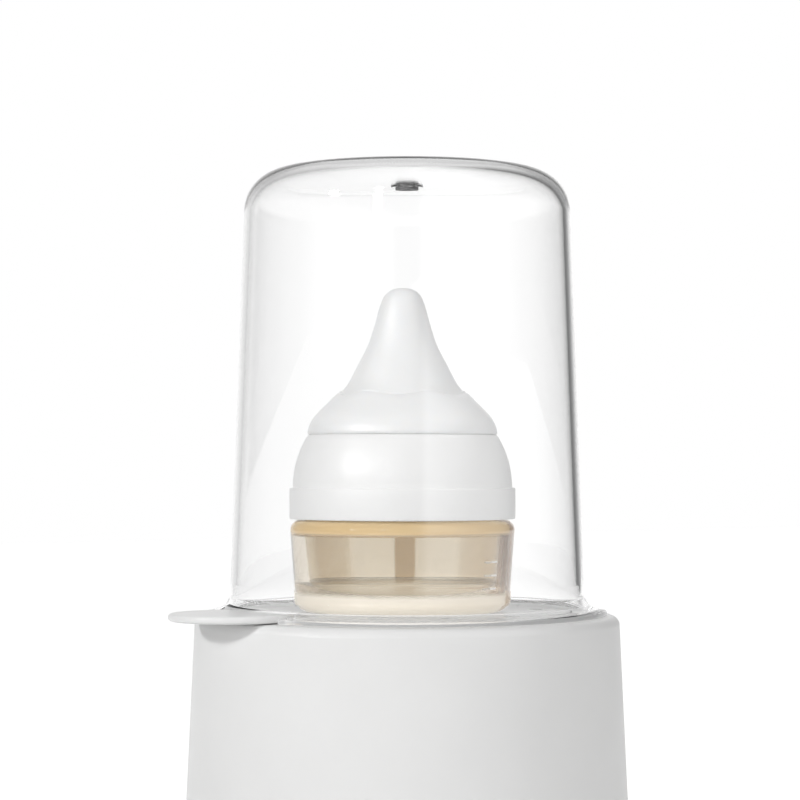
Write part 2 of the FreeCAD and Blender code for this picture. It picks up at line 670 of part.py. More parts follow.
def dish_seal():
    """The silicone ring between the dish's rim and the ledge."""
    top, low = "-tray_thickness - dish_sheet", f"-{LEDGE_DROP}"
    body = turned_body("dish_seal", [
        (LEDGE_RADIUS, low),
        ("opening_radius - rim_gap", low),
        ("opening_radius - rim_gap", top),
        (LEDGE_RADIUS, top),
    ])
    return place(body, z="deck_height")


def heat_spreader():
    """Aluminium disc under the dish, grooved for the tubular element."""
    disc = doc.addObject("Part::Cylinder", "spreader_disc")
    disc.setExpression("Radius", bound("heater_radius"))
    disc.setExpression("Height", bound("heater_thickness"))
    groove = doc.addObject("Part::Torus", "spreader_groove")
    groove.setExpression("Radius1", bound("element_ring"))
    groove.setExpression("Radius2", bound("element_radius + pilot_gap"))
    cut = doc.addObject("Part::Cut", "heat_spreader")
    cut.Base, cut.Tool = disc, groove
    cut.Label = "heat_spreader"
    subparts.append(cut)
    return place(cut, z=f"deck_height - {HEATER_BOTTOM}")


def heating_element():
    """The tubular element, an open ring pressed half into the spreader, with two flat terminals."""
    tube = doc.addObject("Part::Torus", "element_tube")
    tube.setExpression("Radius1", bound("element_ring"))
    tube.setExpression("Radius2", bound("element_radius"))
    tube.setExpression("Angle3", bound("element_sweep"))
    pieces = [tube]
    for turn in TERMINAL_TURNS:
        terminal = doc.addObject("Part::Box", "element_terminal")
        terminal.setExpression("Length", bound("terminal_width"))
        terminal.setExpression("Width", bound("terminal_thickness"))
        terminal.setExpression("Height", bound("terminal_length + element_radius / 3"))
        across = f"element_ring * cos({turn}) - terminal_width / 2"
        up = f"element_ring * sin({turn}) - terminal_thickness / 2"
        place(terminal, x=across, y=up, z="-element_radius - terminal_length")
        pieces.append(terminal)
    fused = doc.addObject("Part::MultiFuse", "heating_element")
    fused.Shapes = pieces
    fused.Label = "heating_element"
    subparts.append(fused)
    return place(fused, z=f"deck_height - {HEATER_BOTTOM}")


def heater_clamp():
    """A ring with three arms that presses the heater against the dish."""
    body = new_body("heater_clamp")
    ring = new_sketch(body, "XY_Plane")
    draw_circle(ring, "element_ring + element_radius + clamp_rim")
    extrude(body, ring, "clamp_thickness")
    arm = new_sketch(body, "XY_Plane")
    reach = "clamp_post_ring - element_ring + 2 * clamp_rim"
    draw(arm, rectangle("clamp_arm_width", reach, up="(clamp_post_ring + element_ring) / 2 + clamp_rim"))
    around(body, extrude(body, arm, "clamp_thickness"), 3)
    for radius, up, count in (("clamp_hole_radius", "0", 1), (HOLE_RADIUS, "clamp_post_ring", 3)):
        hole = new_sketch(body, "XY_Plane", ("0", "0", "clamp_thickness"))
        draw_circle(hole, radius, up=up)
        cut = extrude(body, hole, "clamp_thickness", "Pocket")
        if count > 1:
            around(body, cut, count)
    for turn in TERMINAL_TURNS:
        window = new_sketch(body, "XY_Plane", ("0", "0", "clamp_thickness"))
        across, up = f"element_ring * cos({turn})", f"element_ring * sin({turn})"
        room = "terminal_width + terminal_room", "terminal_thickness + 1.5 * terminal_room"
        draw(window, rectangle(*room, across=across, up=up))
        extrude(body, window, "clamp_thickness", "Pocket")
    return place(body, z=f"deck_height - {CLAMP_TOP} - clamp_thickness")


def clamp_screws():
    """Three screws up through the clamp's arms into the posts, heads down."""
    body = screws("clamp_screws", [("0", "-clamp_post_ring")], count=3)
    return place(body, z=f"deck_height - {CLAMP_TOP} - clamp_thickness", axis=Vector(1, 0, 0), angle=180.0)


def thermal_cutout():
    """The disc thermostat under the middle of the spreader, with its two terminals."""
    body = turned_body("thermal_cutout", [
        ("0", "-cutout_height"),
        ("cutout_case_radius", "-cutout_height"),
        ("cutout_case_radius", "-cutout_flange"),
        ("cutout_radius", "-cutout_flange"),
        ("cutout_radius", "0"),
        ("0", "0"),
    ])
    for across in ("-cutout_tab_spread", "cutout_tab_spread"):
        tab = new_sketch(body, "XY_Plane", ("0", "0", "-cutout_height"))
        draw(tab, rectangle("cutout_tab_thickness", "cutout_tab_width", across=across))
        extrude(body, tab, "cutout_tab_length", backwards=True)
    return place(body, z=f"deck_height - {HEATER_BOTTOM}")


def temperature_sensor():
    """The sensor bead in a metal cup, held against the spreader beside the cut-out."""
    body = turned_body("temperature_sensor", [
        ("0", "-sensor_length"),
        ("sensor_tip_radius", "-sensor_length"),
        ("sensor_radius", "sensor_taper - sensor_length"),
        ("sensor_radius", "0"),
        ("0", "0"),
    ])
    return place(body, x="sensor_shift", z=f"deck_height - {HEATER_BOTTOM}")


def main_board():
    """The power and control board on the bottom cover's standoffs."""
    body = new_body("main_board")
    board = new_sketch(body, "XY_Plane")
    draw(board, rectangle("board_width", "board_depth"))
    extrude(body, board, "board_thickness")
    for across, up in BOARD_CORNERS:
        hole = new_sketch(body, "XY_Plane", ("0", "0", "board_thickness"))
        draw_circle(hole, HOLE_RADIUS, across=across, up=up)
        extrude(body, hole, "board_thickness", "Pocket")
    return place(body, z=BOARD_Z)


def board_screws():
    """Four screws down through the main board into the standoffs."""
    body = screws("board_screws", BOARD_CORNERS)
    return place(body, z=BOARD_TOP)


def board_block(label, width, depth, height, across, up):
    """A boxy component soldered to the main board."""
    body = new_body(label)
    foot = new_sketch(body, "XY_Plane")
    draw(foot, rectangle(width, depth))
    extrude(body, foot, height)
    upright = [f"Edge{n}" for n, e in enumerate(body.Tip.Shape.Edges, start=1)
               if abs(e.Vertexes[0].Z - e.Vertexes[-1].Z) > 0.1]
    round_edges(body, upright, "block_chamfer", "Chamfer")
    return place(body, x=across, y=up, z=BOARD_TOP)


def transformer():
    """The small supply transformer: bobbin between two core halves."""
    body = board_block("transformer", "transformer_width", "transformer_depth", "transformer_height",
                       "transformer_x", "transformer_y")
    winding = new_sketch(body, "XY_Plane", ("0", "0", "winding_rise"))
    draw(winding, rectangle("winding_width", "winding_depth"))
    extrude(body, winding, "winding_height")
    return body


def relay():
    """The relay that switches the heater."""
    return board_block("relay", "relay_width", "relay_depth", "relay_height", "relay_x", "relay_y")


def capacitors():
    """Two electrolytic capacitors standing on the board."""
    body = new_body("capacitors")
    for across, up, radius in CAPACITORS:
        revolve(body, [
            ("0", "0"),
            (f"{radius} - capacitor_groove", "0"),
            (radius, "2 * capacitor_groove"),
            (f"{radius} - capacitor_groove", "4 * capacitor_groove"),
            (radius, "6 * capacitor_groove"),
            (radius, "capacitor_height - capacitor_edge"),
            (f"{radius} - capacitor_edge", "capacitor_height"),
            ("0", "capacitor_height"),
        ], across, up)
    return place(body, z=BOARD_TOP)


def terminal_block():
    """The screw terminal block where the mains and heater leads arrive."""
    body = board_block("terminal_block", "block_width", "block_depth", "block_height", "block_x", "block_y")
    for index in ("-1.5", "-0.5", "0.5", "1.5"):
        at = f"{index} * block_pitch"
        screw_hole = new_sketch(body, "XY_Plane", ("0", "0", "block_height"))
        draw_circle(screw_hole, "block_hole_radius", up=at)
        extrude(body, screw_hole, "block_hole_depth", "Pocket")
        mouth = new_sketch(body, "YZ_Plane", ("0", "0", "block_width / 2"))
        draw(mouth, rectangle("block_mouth", "block_mouth", across=at, up="block_mouth"))
        extrude(body, mouth, "block_mouth_depth", "Pocket")
    return body


# --- power button ---------------------------------------------------------------------------------

def power_button():
    """The round cap; a lip behind the light ring keeps it in."""
    back = f"({BUTTON_LIP_TOP} - button_lip)"
    face = f"({FRONT_WALL} + button_proud)"
    body = turned_body("power_button", [
        ("0", back),
        ("button_radius + button_lip", back),
        ("button_radius + button_lip", BUTTON_LIP_TOP),
        ("button_radius", BUTTON_LIP_TOP),
        ("button_radius", face),
        ("0", face),
    ])
    round_edges(body, rings(body, "button_radius", face), "button_edge")
    return place(body, z="button_height", axis=FACING_FRONT[0], angle=FACING_FRONT[1])


def light_ring():
    """The translucent ring round the button that carries the status light."""
    face = f"({FRONT_WALL} + ring_proud)"
    body = turned_body("light_ring", [
        ("ring_inner_radius", RING_BACK),
        ("ring_outer_radius", RING_BACK),
        ("ring_outer_radius", face),
        ("ring_inner_radius", face),
    ])
    round_edges(body, rings(body, "ring_outer_radius", face), "ring_edge")
    return place(body, z="button_height", axis=FACING_FRONT[0], angle=FACING_FRONT[1])


def switch_board():
    """The small board behind the button, with two screw holes."""
    body = new_body("switch_board")
    board = new_sketch(body, "XY_Plane", ("0", "0", f"{SWITCH_BOARD_FACE} - board_thickness"))
    draw(board, rectangle("switch_board_width", "switch_board_height"))
    extrude(body, board, "board_thickness")
    for side in ("-1", "1"):
        hole = new_sketch(body, "XY_Plane", ("0", "0", SWITCH_BOARD_FACE))
        draw_circle(hole, "switch_hole_radius", across=f"{side} * switch_post_spread")
        extrude(body, hole, "board_thickness", "Pocket")
    return place(body, z="button_height", axis=FACING_FRONT[0], angle=FACING_FRONT[1])


def tactile_switch():
    """The click switch that the button reaches at the end of its travel."""
    body = new_body("tactile_switch")
    case = new_sketch(body, "XY_Plane", ("0", "0", SWITCH_BOARD_FACE))
    draw(case, rectangle("switch_size", "switch_size"))
    extrude(body, case, "switch_depth")
    plunger = new_sketch(body, "XY_Plane", ("0", "0", SWITCH_FACE))
    draw_circle(plunger, "plunger_radius")
    extrude(body, plunger, "plunger_length")
    return place(body, z="button_height", axis=FACING_FRONT[0], angle=FACING_FRONT[1])


# --- mains inlet ----------------------------------------------------------------------------------

def mains_inlet():
    """The two-pin appliance inlet's body, with its figure-of-eight socket facing the rear."""
    body = new_body("mains_inlet")
    face = f"({REAR_WALL} + inlet_proud)"
    case = new_sketch(body, "XY_Plane", ("0", "0", f"{face} - inlet_depth"))
    draw(case, rectangle("inlet_width", "inlet_tall"))
    extrude(body, case, "inlet_depth")
    socket = new_sketch(body, "XY_Plane", ("0", "0", face))
    draw(socket, [
        ("-pin_spread", "socket_half_height", "socket_half_height", "left"),
        ("-pin_spread - socket_half_height", "0", "socket_half_height", "left"),
        ("-pin_spread", "-socket_half_height"),
        ("pin_spread", "-socket_half_height", "socket_half_height", "left"),
        ("pin_spread + socket_half_height", "0", "socket_half_height", "left"),
        ("pin_spread", "socket_half_height"),
    ])
    extrude(body, socket, "socket_depth", "Pocket")
    for side in ("-1", "1"):
        hole = new_sketch(body, "XY_Plane", ("0", "0", face))
        draw_circle(hole, "pin_radius", across=f"{side} * pin_spread")
        extrude(body, hole, "inlet_depth", "Pocket")
    return place(body, z="inlet_height", axis=FACING_REAR[0], angle=FACING_REAR[1])


def inlet_pins():
    """The two brass pins through the inlet's back wall."""
    body = new_body("inlet_pins")
    floor = f"({REAR_WALL} + inlet_proud - socket_depth)"
    tail = f"{REAR_WALL} + inlet_proud - inlet_depth - pin_tail"
    for side in ("-1", "1"):
        revolve(body, [
            ("0", tail),
            ("pin_radius", tail),
            ("pin_radius", f"{floor} + pin_length - pin_point"),
            ("pin_radius - pin_point", f"{floor} + pin_length"),
            ("0", f"{floor} + pin_length"),
        ], f"{side} * pin_spread", "0")
    return place(body, z="inlet_height", axis=FACING_REAR[0], angle=FACING_REAR[1])


# --- tray -----------------------------------------------------------------------------------------

def steam_tray():
    """The perforated tray, flush with the deck, and the round finger tab that bridges over the deck."""
    body = new_body("steam_tray")
    tray_radius = "(opening_radius - tray_gap)"
    revolve(body, [
        ("0", "-tray_thickness"),
        (tray_radius, "-tray_thickness"),
        (tray_radius, "0"),
        ("0", "0"),
    ])
    step_radius, stem_radius = f"({tray_radius} - fit_gap)", "(tab_radius - tab_step)"
    meet = f"(({step_radius}^2 - {stem_radius}^2 + {TAB_REACH}^2) / (2 * {TAB_REACH}))"
    half = f"sqrt({step_radius}^2 - {meet}^2)"
    step = new_sketch(body, "XY_Plane")
    draw(step, [
        (f"-{meet}", half, step_radius, "left"),
        (f"-{meet}", f"-{half}", stem_radius, "left"),
    ])
    extrude(body, step, "tab_gap + tab_thickness / 2")
    rounding = "min(tab_rounding; tab_thickness * 0.45)"
    revolve(body, [
        ("0", "tab_gap"),
        (f"tab_radius - {rounding}", "tab_gap", rounding, "left"),
        ("tab_radius", f"tab_gap + {rounding}"),
        ("tab_radius", f"{TAB_TOP} - {rounding}", rounding, "left"),
        (f"tab_radius - {rounding}", TAB_TOP),
        ("0", TAB_TOP),
    ], f"-{TAB_REACH}", "0")
    punch(body, "steam_hole_radius", "outer_hole_ring * cos(15)", "outer_hole_ring * sin(15)", 12)
    punch(body, "steam_hole_radius", "inner_hole_ring", "0", 8)
    return place(body, z="deck_height")


def punch(body, radius, across, up, count):
    """A ring of holes through the tray's plate."""
    hole = new_sketch(body, "XY_Plane")
    draw_circle(hole, radius, across=across, up=up)
    around(body, extrude(body, hole, "tray_thickness", "Pocket"), count)


# --- dome -----------------------------------------------------------------------------------------

def dome():
    """The clear bell with its flared flange, vent boss and the notch that clears the finger tab."""
    body = new_body("dome")
    wall_at_flange = f"(dome_foot_radius - {DOME_SLOPE} * flange_root)"
    roof_low = "(dome_height - dome_roof)"
    inner_top = f"(dome_foot_radius - {DOME_SLOPE} * {roof_low} - dome_wall)"
    lip_rounding = "(flange_lip * 0.6)"
    revolve(body, [
        ("vent_radius", "dome_height"),
        ("dome_top_radius", "dome_height"),
        (wall_at_flange, "flange_root"),
        (f"flange_radius - {lip_rounding}", "flange_lip", lip_rounding, "right"),
        ("flange_radius", f"flange_lip - {lip_rounding}"),
        ("flange_radius", "0"),
        ("dome_foot_radius - dome_wall", "0"),
        (inner_top, roof_low),
        ("vent_boss_radius", roof_low),
        ("vent_boss_radius", f"{roof_low} - vent_boss_height"),
        ("vent_radius", f"{roof_low} - vent_boss_height"),
    ])
    round_edges(body, rings(body, "dome_top_radius", "dome_height"), "dome_corner")
    round_edges(body, rings(body, inner_top, roof_low), "dome_corner - dome_wall")
    round_edges(body, rings(body, wall_at_flange, "flange_root"), "flare_radius")
    round_edges(body, rings(body, "dome_foot_radius - dome_wall", "0"), "foot_rounding")
    notch = new_sketch(body, "XY_Plane", ("0", "0", f"{TAB_TOP} + notch_headroom - dome_lift_gap"))
    inner_end = f"({TAB_REACH} - tab_radius - notch_gap)"
    outer_end = "(flange_radius + notch_gap)"
    width = "2 * (tab_radius + notch_gap)"
    draw(notch, rectangle(f"{outer_end} - {inner_end}", width, across=f"-({inner_end} + {outer_end}) / 2"))
    extrude(body, notch, f"{TAB_TOP} + notch_headroom", "Pocket")
    return place(body, z="deck_height + dome_lift_gap")


def vent_grommet():
    """The grey silicone grommet in the roof's vent hole."""
    low = "(dome_height - dome_roof - vent_boss_height)"
    body = turned_body("vent_grommet", [
        ("grommet_bore", f"{low} - grommet_low"),
        ("grommet_low_radius", f"{low} - grommet_low"),
        ("grommet_low_radius", low),
        ("grommet_neck", low),
        ("grommet_neck", "dome_height"),
        ("grommet_top_radius", "dome_height"),
        ("grommet_top_radius - grommet_bevel", "dome_height + grommet_top"),
        ("grommet_bore", "dome_height + grommet_top"),
    ])
    return place(body, z="deck_height + dome_lift_gap")


# --- bottle ---------------------------------------------------------------------------------------

def bottle_body():
    """The thick-walled amber cup with its threaded neck."""
    inner = "(bottle_radius - bottle_wall)"
    neck_inner = "(neck_radius - neck_wall)"
    body = turned_body("bottle_body", [
        ("0", "0"),
        ("bottle_foot_radius", "0"),
        ("bottle_radius", "bottle_shoulder - shoulder_rounding"),
        ("bottle_radius", "bottle_shoulder"),
        ("neck_radius", "bottle_shoulder"),
        ("neck_radius", NECK_TOP),
        (neck_inner, NECK_TOP),
        (neck_inner, "bottle_shoulder - neck_depth"),
        (inner, "bottle_shoulder - neck_depth - neck_cone"),
        ("bottle_foot_radius - bottle_wall", "bottle_floor"),
        ("0", "bottle_floor"),
    ])
    round_edges(body, rings(body, "bottle_foot_radius", "0"), "bottle_corner")
    round_edges(body, rings(body, "bottle_foot_radius - bottle_wall", "bottle_floor"), "bottle_inner_corner")
    round_edges(body, rings(body, "bottle_radius", "bottle_shoulder"), "shoulder_rounding - shoulder_flat")
    round_edges(body, rings(body, neck_inner, NECK_TOP), "neck_edge")
    for ridge in ("0", "1"):
        low = f"bottle_shoulder + thread_low + {ridge} * thread_pitch"
        revolve(body, [
            ("neck_radius - thread_root", low),
            ("neck_radius", low),
            ("neck_radius + thread_depth", f"{low} + thread_height * 0.35"),
            ("neck_radius + thread_depth", f"{low} + thread_height * 0.65"),
            ("neck_radius", f"{low} + thread_height"),
            ("neck_radius - thread_root", f"{low} + thread_height"),
        ])
    return place(body, x="bottle_shift", z="deck_height")


def bottle_collar():
    """The white screw collar: straight grip band below, domed side above, hole for the teat."""
    band_top = f"({COLLAR_BOTTOM} + band_height)"
    inside_radius = "(neck_radius + thread_depth + collar_gap)"
    top_inside = f"({COLLAR_TOP} - collar_wall)"
    crown = f"(collar_radius - collar_crown + sqrt(collar_crown^2 - ({COLLAR_TOP} - {band_top})^2))"
    crown_inside = f"({crown} - collar_wall)"
    body = turned_body("bottle_collar", [
        ("band_radius", COLLAR_BOTTOM),
        ("band_radius", band_top),
        ("collar_radius", band_top, "collar_crown", "left"),
        (crown, COLLAR_TOP),
        ("collar_hole", COLLAR_TOP),
        ("collar_hole", top_inside),
        (crown_inside, top_inside, "collar_crown", "right"),
        (inside_radius, f"{band_top} + collar_step"),
        (inside_radius, COLLAR_BOTTOM),
    ])
    round_edges(body, rings(body, "band_radius", band_top), "band_edge")
    round_edges(body, rings(body, "band_radius", COLLAR_BOTTOM), "band_edge")
    return place(body, x="bottle_shift", z="deck_height")


def teat_side(inset):
    """The teat's curved flank from skirt to tip, moved inwards by its wall."""
    above = value(COLLAR_TOP)
    knots = [
        (value("teat_skirt_radius"), value("teat_skirt_height")),
        (value("teat_skirt_radius * teat_skirt_share"), value("teat_flank_height / 2")),
        (value("teat_flank_radius"), value("teat_flank_height")),
        (value("teat_waist_radius"), value("teat_waist_height")),
        (value("nipple_radius"), value("nipple_height")),
        (0.0, value("teat_height")),
    ]
    points = []
    for i, (radius, rise) in enumerate(knots):
        before, after = knots[max(i - 1, 0)], knots[min(i + 1, len(knots) - 1)]
        along = Vector(after[0] - before[0], 0, after[1] - before[1]).normalize()
        inwards = Vector(-along.z, 0, along.x) * inset
        if i == len(knots) - 1:
            inwards = Vector(0, 0, -inset)
        points.append(Vector(radius, 0, above + rise) + inwards)
    curve = Part.BSplineCurve()
    curve.interpolate(Points=points, InitialTangent=Vector(0, 0, 1), FinalTangent=Vector(-1, 0, 0))
    return curve.toShape(), points


def bottle_teat():
    """The silicone teat: nipple and skirt above the collar, neck through it, flange on the bottle's rim."""
    outer, outer_points = teat_side(0.0)
    inner, inner_points = teat_side(value("teat_wall"))
    top, rim = value(COLLAR_TOP), value(NECK_TOP)
    gap, lead_in = value("teat_gap"), value("teat_lead_in")
    flange_radius, flange_top = value("teat_flange_radius"), value(f"{NECK_TOP} + teat_flange + teat_gap")
    neck = value("collar_hole - teat_gap")
    throat_low, throat_high = value(THROAT_LOW), value(THROAT_HIGH)
    corners = [
        outer_points[0],
        Vector(value("teat_skirt_radius"), 0, top + gap),
        Vector(neck, 0, top + gap),
        Vector(neck, 0, value(f"{COLLAR_TOP} - collar_wall - teat_gap")),
        Vector(neck - lead_in, 0, flange_top),
        Vector(flange_radius, 0, flange_top),
        Vector(flange_radius, 0, rim + gap),
        Vector(throat_low, 0, rim + gap),
        Vector(throat_high, 0, top),
        inner_points[0],
    ]
    edges = [outer, Part.makeLine(inner_points[-1], outer_points[-1]), inner]
    edges += [Part.makeLine(a, b) for a, b in zip(corners, corners[1:])]
    face = Part.Face(Part.Wire(Part.__sortEdges__(edges)))
    solid = face.revolve(Vector(0, 0, 0), Vector(0, 0, 1), 360)
    hole = Part.makeCylinder(value("milk_hole"), 2 * value("teat_wall"),
                             Vector(0, 0, value(f"{COLLAR_TOP} + teat_height - 1.5 * teat_wall")))
    teat = doc.addObject("Part::Feature", "bottle_teat")
    teat.Label = "bottle_teat"
    teat.Shape = solid.cut(hole)
    subparts.append(teat)
    return place(teat, x="bottle_shift", z="deck_height")


SUBPARTS = [
    housing, bottom_cover, feet, bottom_screws, heating_dish, dish_seal, heat_spreader, heating_element,
    heater_clamp, clamp_screws, thermal_cutout, temperature_sensor, main_board, board_screws, transformer,
    relay, capacitors, terminal_block, power_button, light_ring, switch_board, tactile_switch, mains_inlet,
    inlet_pins, steam_tray, dome, vent_grommet, bottle_body, bottle_collar, bottle_teat,
]


def check_and_write():
    """Stops on any failed object or bad shape, then writes one STEP file per sub-part."""
    doc.recompute()
    failed = [o.Label for o in doc.Objects if {"Invalid", "Error"} & set(o.State)]
    if failed:
        raise ValueError(f"failed objects: {failed}")
    bad = [s.Label for s in subparts if s.Shape.isNull() or not s.Shape.isValid() or s.Shape.Volume <= 0]
    if bad:
        raise ValueError(f"bad shapes: {bad}")
    os.makedirs("parts", exist_ok=True)
    for subpart in subparts:
        subpart.Shape.exportStep(f"parts/{subpart.Label}.step")
        print(f"{subpart.Label}: {len(subpart.Shape.Solids)} solid(s), {subpart.Shape.Volume:.1f} mm3")


fill_sheet()
for make in SUBPARTS:
    make()
check_and_write()
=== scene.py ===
"""Looks of the bottle sterilizer: clear dome, amber bottle, white base, soft white studio.

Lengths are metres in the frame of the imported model: +Z up, finger tab towards -X, button towards -Y.
"""
import math

import bmesh
import bpy
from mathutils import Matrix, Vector


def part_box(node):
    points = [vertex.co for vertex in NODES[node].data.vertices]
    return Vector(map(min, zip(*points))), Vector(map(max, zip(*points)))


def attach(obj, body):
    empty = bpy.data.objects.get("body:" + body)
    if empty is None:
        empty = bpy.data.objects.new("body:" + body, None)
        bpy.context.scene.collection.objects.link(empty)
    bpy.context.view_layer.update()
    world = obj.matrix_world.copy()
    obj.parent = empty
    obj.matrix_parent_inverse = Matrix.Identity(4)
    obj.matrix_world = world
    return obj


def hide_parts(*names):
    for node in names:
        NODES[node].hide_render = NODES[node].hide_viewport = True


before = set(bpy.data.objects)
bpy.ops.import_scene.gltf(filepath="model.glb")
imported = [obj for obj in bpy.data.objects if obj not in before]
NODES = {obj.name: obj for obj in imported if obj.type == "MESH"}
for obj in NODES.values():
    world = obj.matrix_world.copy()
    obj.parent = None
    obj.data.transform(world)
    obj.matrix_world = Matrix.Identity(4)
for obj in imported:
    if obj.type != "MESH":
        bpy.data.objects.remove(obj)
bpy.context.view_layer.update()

MM = 0.001
SEGMENTS = 256
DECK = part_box("housing")[1].z
DOME_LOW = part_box("dome")[0].z
DOME_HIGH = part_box("dome")[1].z
BOTTLE_LOW, BOTTLE_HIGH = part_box("bottle_body")
BOTTLE_X = (BOTTLE_LOW.x + BOTTLE_HIGH.x) / 2
COLLAR_LOW, COLLAR_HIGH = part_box("bottle_collar")
TEAT_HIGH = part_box("bottle_teat")[1].z

# Where the camera stands, in degrees: 0 is in front, towards -Y, and 90 is towards +X.
VIEW_AZIMUTH = -32.5
FLOOR_GLOW = 0.66
# The lamps: name, degrees from the camera towards the right, distance, height, size and power.
LAMPS = (
    ("key", -52.5, 1.2, 0.62, (0.14, 0.14), 6.6),
    ("spark_0.47", -20.0, 1.2, 0.47, (0.12, 0.09), 0.9),
    ("spark_0.78", -20.0, 1.2, 0.78, (0.12, 0.09), 0.9),
    ("overhead", 0.0, 0.1, 1.4, (1.2, 1.2), 1.8),
)
# How bright the studio is round the object: degrees from the camera, towards the right, then the level.
AROUND_LEVELS = (
    (-180, 1.12), (-166, 1.12), (-150, 0.75), (-115, 0.35), (-80, 0.12), (-60, 0.22), (-14, 0.40), (-8, 0.35),
    (8, 0.40), (14, 1.35), (60, 1.55), (85, 0.70), (115, 0.20), (152, 0.20), (166, 1.12), (180, 1.12),
)
# The same by height, from straight down, 0, over eye level, 0.5, to straight up, 1.
HEIGHT_LEVELS = ((0.0, 0.9), (0.50, 1.0), (0.60, 1.0), (0.72, 0.72), (1.0, 0.66))

# The bottle's tint where it is palest, and how fast red, green and blue fall where it is deeper.
AMBER_TINT = (0.82, 0.77, 0.68)
AMBER_FALL = (1.0, 1.4, 2.0)
# Painted shade: deeper tint where the camera sees the bottle's sides, most at the right, and in a strip on the
# far side.
# The share of the tint let through: degrees from the camera's side, towards the right, then the share.
AMBER_PAINTED_SHADE_BANDS = (
    (-180, 0.64), (-175.7, 0.64), (-174.9, 1.0), (-147, 1.0), (-142, 0.84), (-115, 0.74), (-90, 0.9),
    (-60, 1.0), (69, 1.0), (73, 0.6), (90, 0.6), (115, 0.74), (139, 0.86), (143, 1.0), (172.0, 1.0),
    (172.7, 0.64), (180, 0.64),
)
# Levels on the bottle: where the painted shade of its deep brown right edge lies, round it, and where the
# painted light of its cream floor and golden shoulder lies, by millimetres above the deck out of AMBER_SPAN.
AMBER_SPAN = 40.0
EDGE_PAINTED_SHADE_LEVELS = ((0, 0), (68, 0), (71, 1), (88, 1), (92, 0))
FLOOR_PAINTED_LIGHT_LEVELS = ((0.0, 1.0), (6.0, 1.0), (7.4, 0.0))
SHOULDER_PAINTED_LIGHT_LEVELS = ((0.0, 0.0), (22.8, 0.0), (23.8, 1.0))
# What colour each of those has, and how clear it is.
FLOOR_PAINTED_LIGHT_LOOK = ((0.93, 0.88, 0.79), 0.22)
SHOULDER_PAINTED_LIGHT_LOOK = ((0.86, 0.66, 0.38), 0.25)
DASH_LOOK = ((0.95, 0.94, 0.92), 0.0)
EDGE_PAINTED_SHADE_LOOK = ((0.50, 0.36, 0.26), 0.35)
# Painted glow: light that the floor and the shoulder give off of their own, though they are no lamps.
FLOOR_PAINTED_GLOW = (0.14, 0.125, 0.10)
SHOULDER_PAINTED_GLOW = (0.03, 0.015, 0.0)
# The bottle's measuring dashes: degrees from the camera's side, then millimetres above the deck.
DASH_TURN = (51.5, 57.0)
DASH_TURN_FADE = 0.18
DASH_COUNT = 3
DASH_TOP = 15.8
DASH_STEP = 3.7
DASH_THICK = 0.6
DASH_FADE = 0.1

# The dome's flared foot bends light less than its wall, over these heights above the deck.
WALL_IOR = 1.49
FOOT_IOR = 1.09
FOOT_IOR_TOP = 5.0 * MM
WALL_IOR_FOOT = 9.0 * MM
# How clear the dome's foot is: millimetres from the axis, from FLANGE_START to FLANGE_END, then the share let
# through. The two dips are fine rings, and the last drop is the lip.
FLANGE_START, FLANGE_END = 48.0, 58.0
FLANGE_CLEARNESS = (
    (48.0, 1.0), (51.5, 1.0), (51.6, 0.5), (51.9, 0.5), (52.0, 1.0), (53.8, 1.0), (53.9, 0.6), (54.2, 0.6),
    (54.3, 1.0), (55.9, 1.0), (56.1, 0.6), (56.5, 0.5),
)

# The teat's seam wanders in waves, with a crest 35 degrees left of the camera's side.
SEAM_WAVES = 6
SEAM_PHASE = -SEAM_WAVES * math.radians(VIEW_AZIMUTH - 90 - 35)
SEAM_AMPLITUDE = 0.55 * MM
SEAM_REACH = 2.4 * MM


# --- camera, floor and light ------------------------------------------------------------------------

def around(azimuth, distance, height):
    """A place round the object. Azimuth 0 is in front, towards -Y, and 90 is towards +X."""
    turn = math.radians(azimuth)
    return Vector((math.sin(turn) * distance, -math.cos(turn) * distance, height))


def make_camera():
    """The camera stands low and close, a little below the teat, and looks slightly up."""
    data = bpy.data.cameras.new("camera")
    data.sensor_width = 36.0
    data.lens = 112.0
    camera = bpy.data.objects.new("camera", data)
    camera.location = around(VIEW_AZIMUTH, 0.707, DECK + 0.045)
    camera.rotation_euler = (math.radians(91.29), 0.0, math.radians(VIEW_AZIMUTH + 0.16))
    bpy.context.scene.collection.objects.link(camera)
    bpy.context.scene.camera = camera


def make_floor():
    """A plain pale table top."""
    mesh = bpy.data.meshes.new("floor")
    half = 3.0
    corners = [(-half, -half, 0), (half, -half, 0), (half, half, 0), (-half, half, 0)]
    mesh.from_pydata(corners, [], [(0, 1, 2, 3)])
    floor = bpy.data.objects.new("floor", mesh)
    bpy.context.scene.collection.objects.link(floor)
    material, tree, shader = new_material("floor_white")
    shader.inputs["Base Color"].default_value = (0.70, 0.70, 0.70, 1)
    shader.inputs["Roughness"].default_value = 0.6
    shader.inputs["Emission Color"].default_value = (1, 1, 1, 1)
    path = tree.nodes.new("ShaderNodeLightPath")
    glow = tree.nodes.new("ShaderNodeMath")
    glow.operation = "MULTIPLY_ADD"
    glow.inputs[1].default_value = -FLOOR_GLOW
    glow.inputs[2].default_value = FLOOR_GLOW
    tree.links.new(path.outputs["Is Diffuse Ray"], glow.inputs[0])
    tree.links.new(glow.outputs["Value"], shader.inputs["Emission Strength"])
    add_bump(tree, shader, scale=900.0, strength=0.02)
    mesh.materials.append(material)


def softbox(name, azimuth, distance, height, size, power, aim=0.15):
    """A rectangular lamp that faces the object's axis at a height."""
    data = bpy.data.lights.new(name, "AREA")
    data.shape = "RECTANGLE"
    data.size, data.size_y = size
    data.energy = power
    lamp = bpy.data.objects.new(name, data)
    lamp.location = around(azimuth, distance, height)
    lamp.rotation_euler = (Vector((0, 0, aim)) - lamp.location).to_track_quat("-Z", "Y").to_euler()
    bpy.context.scene.collection.objects.link(lamp)
    return lamp


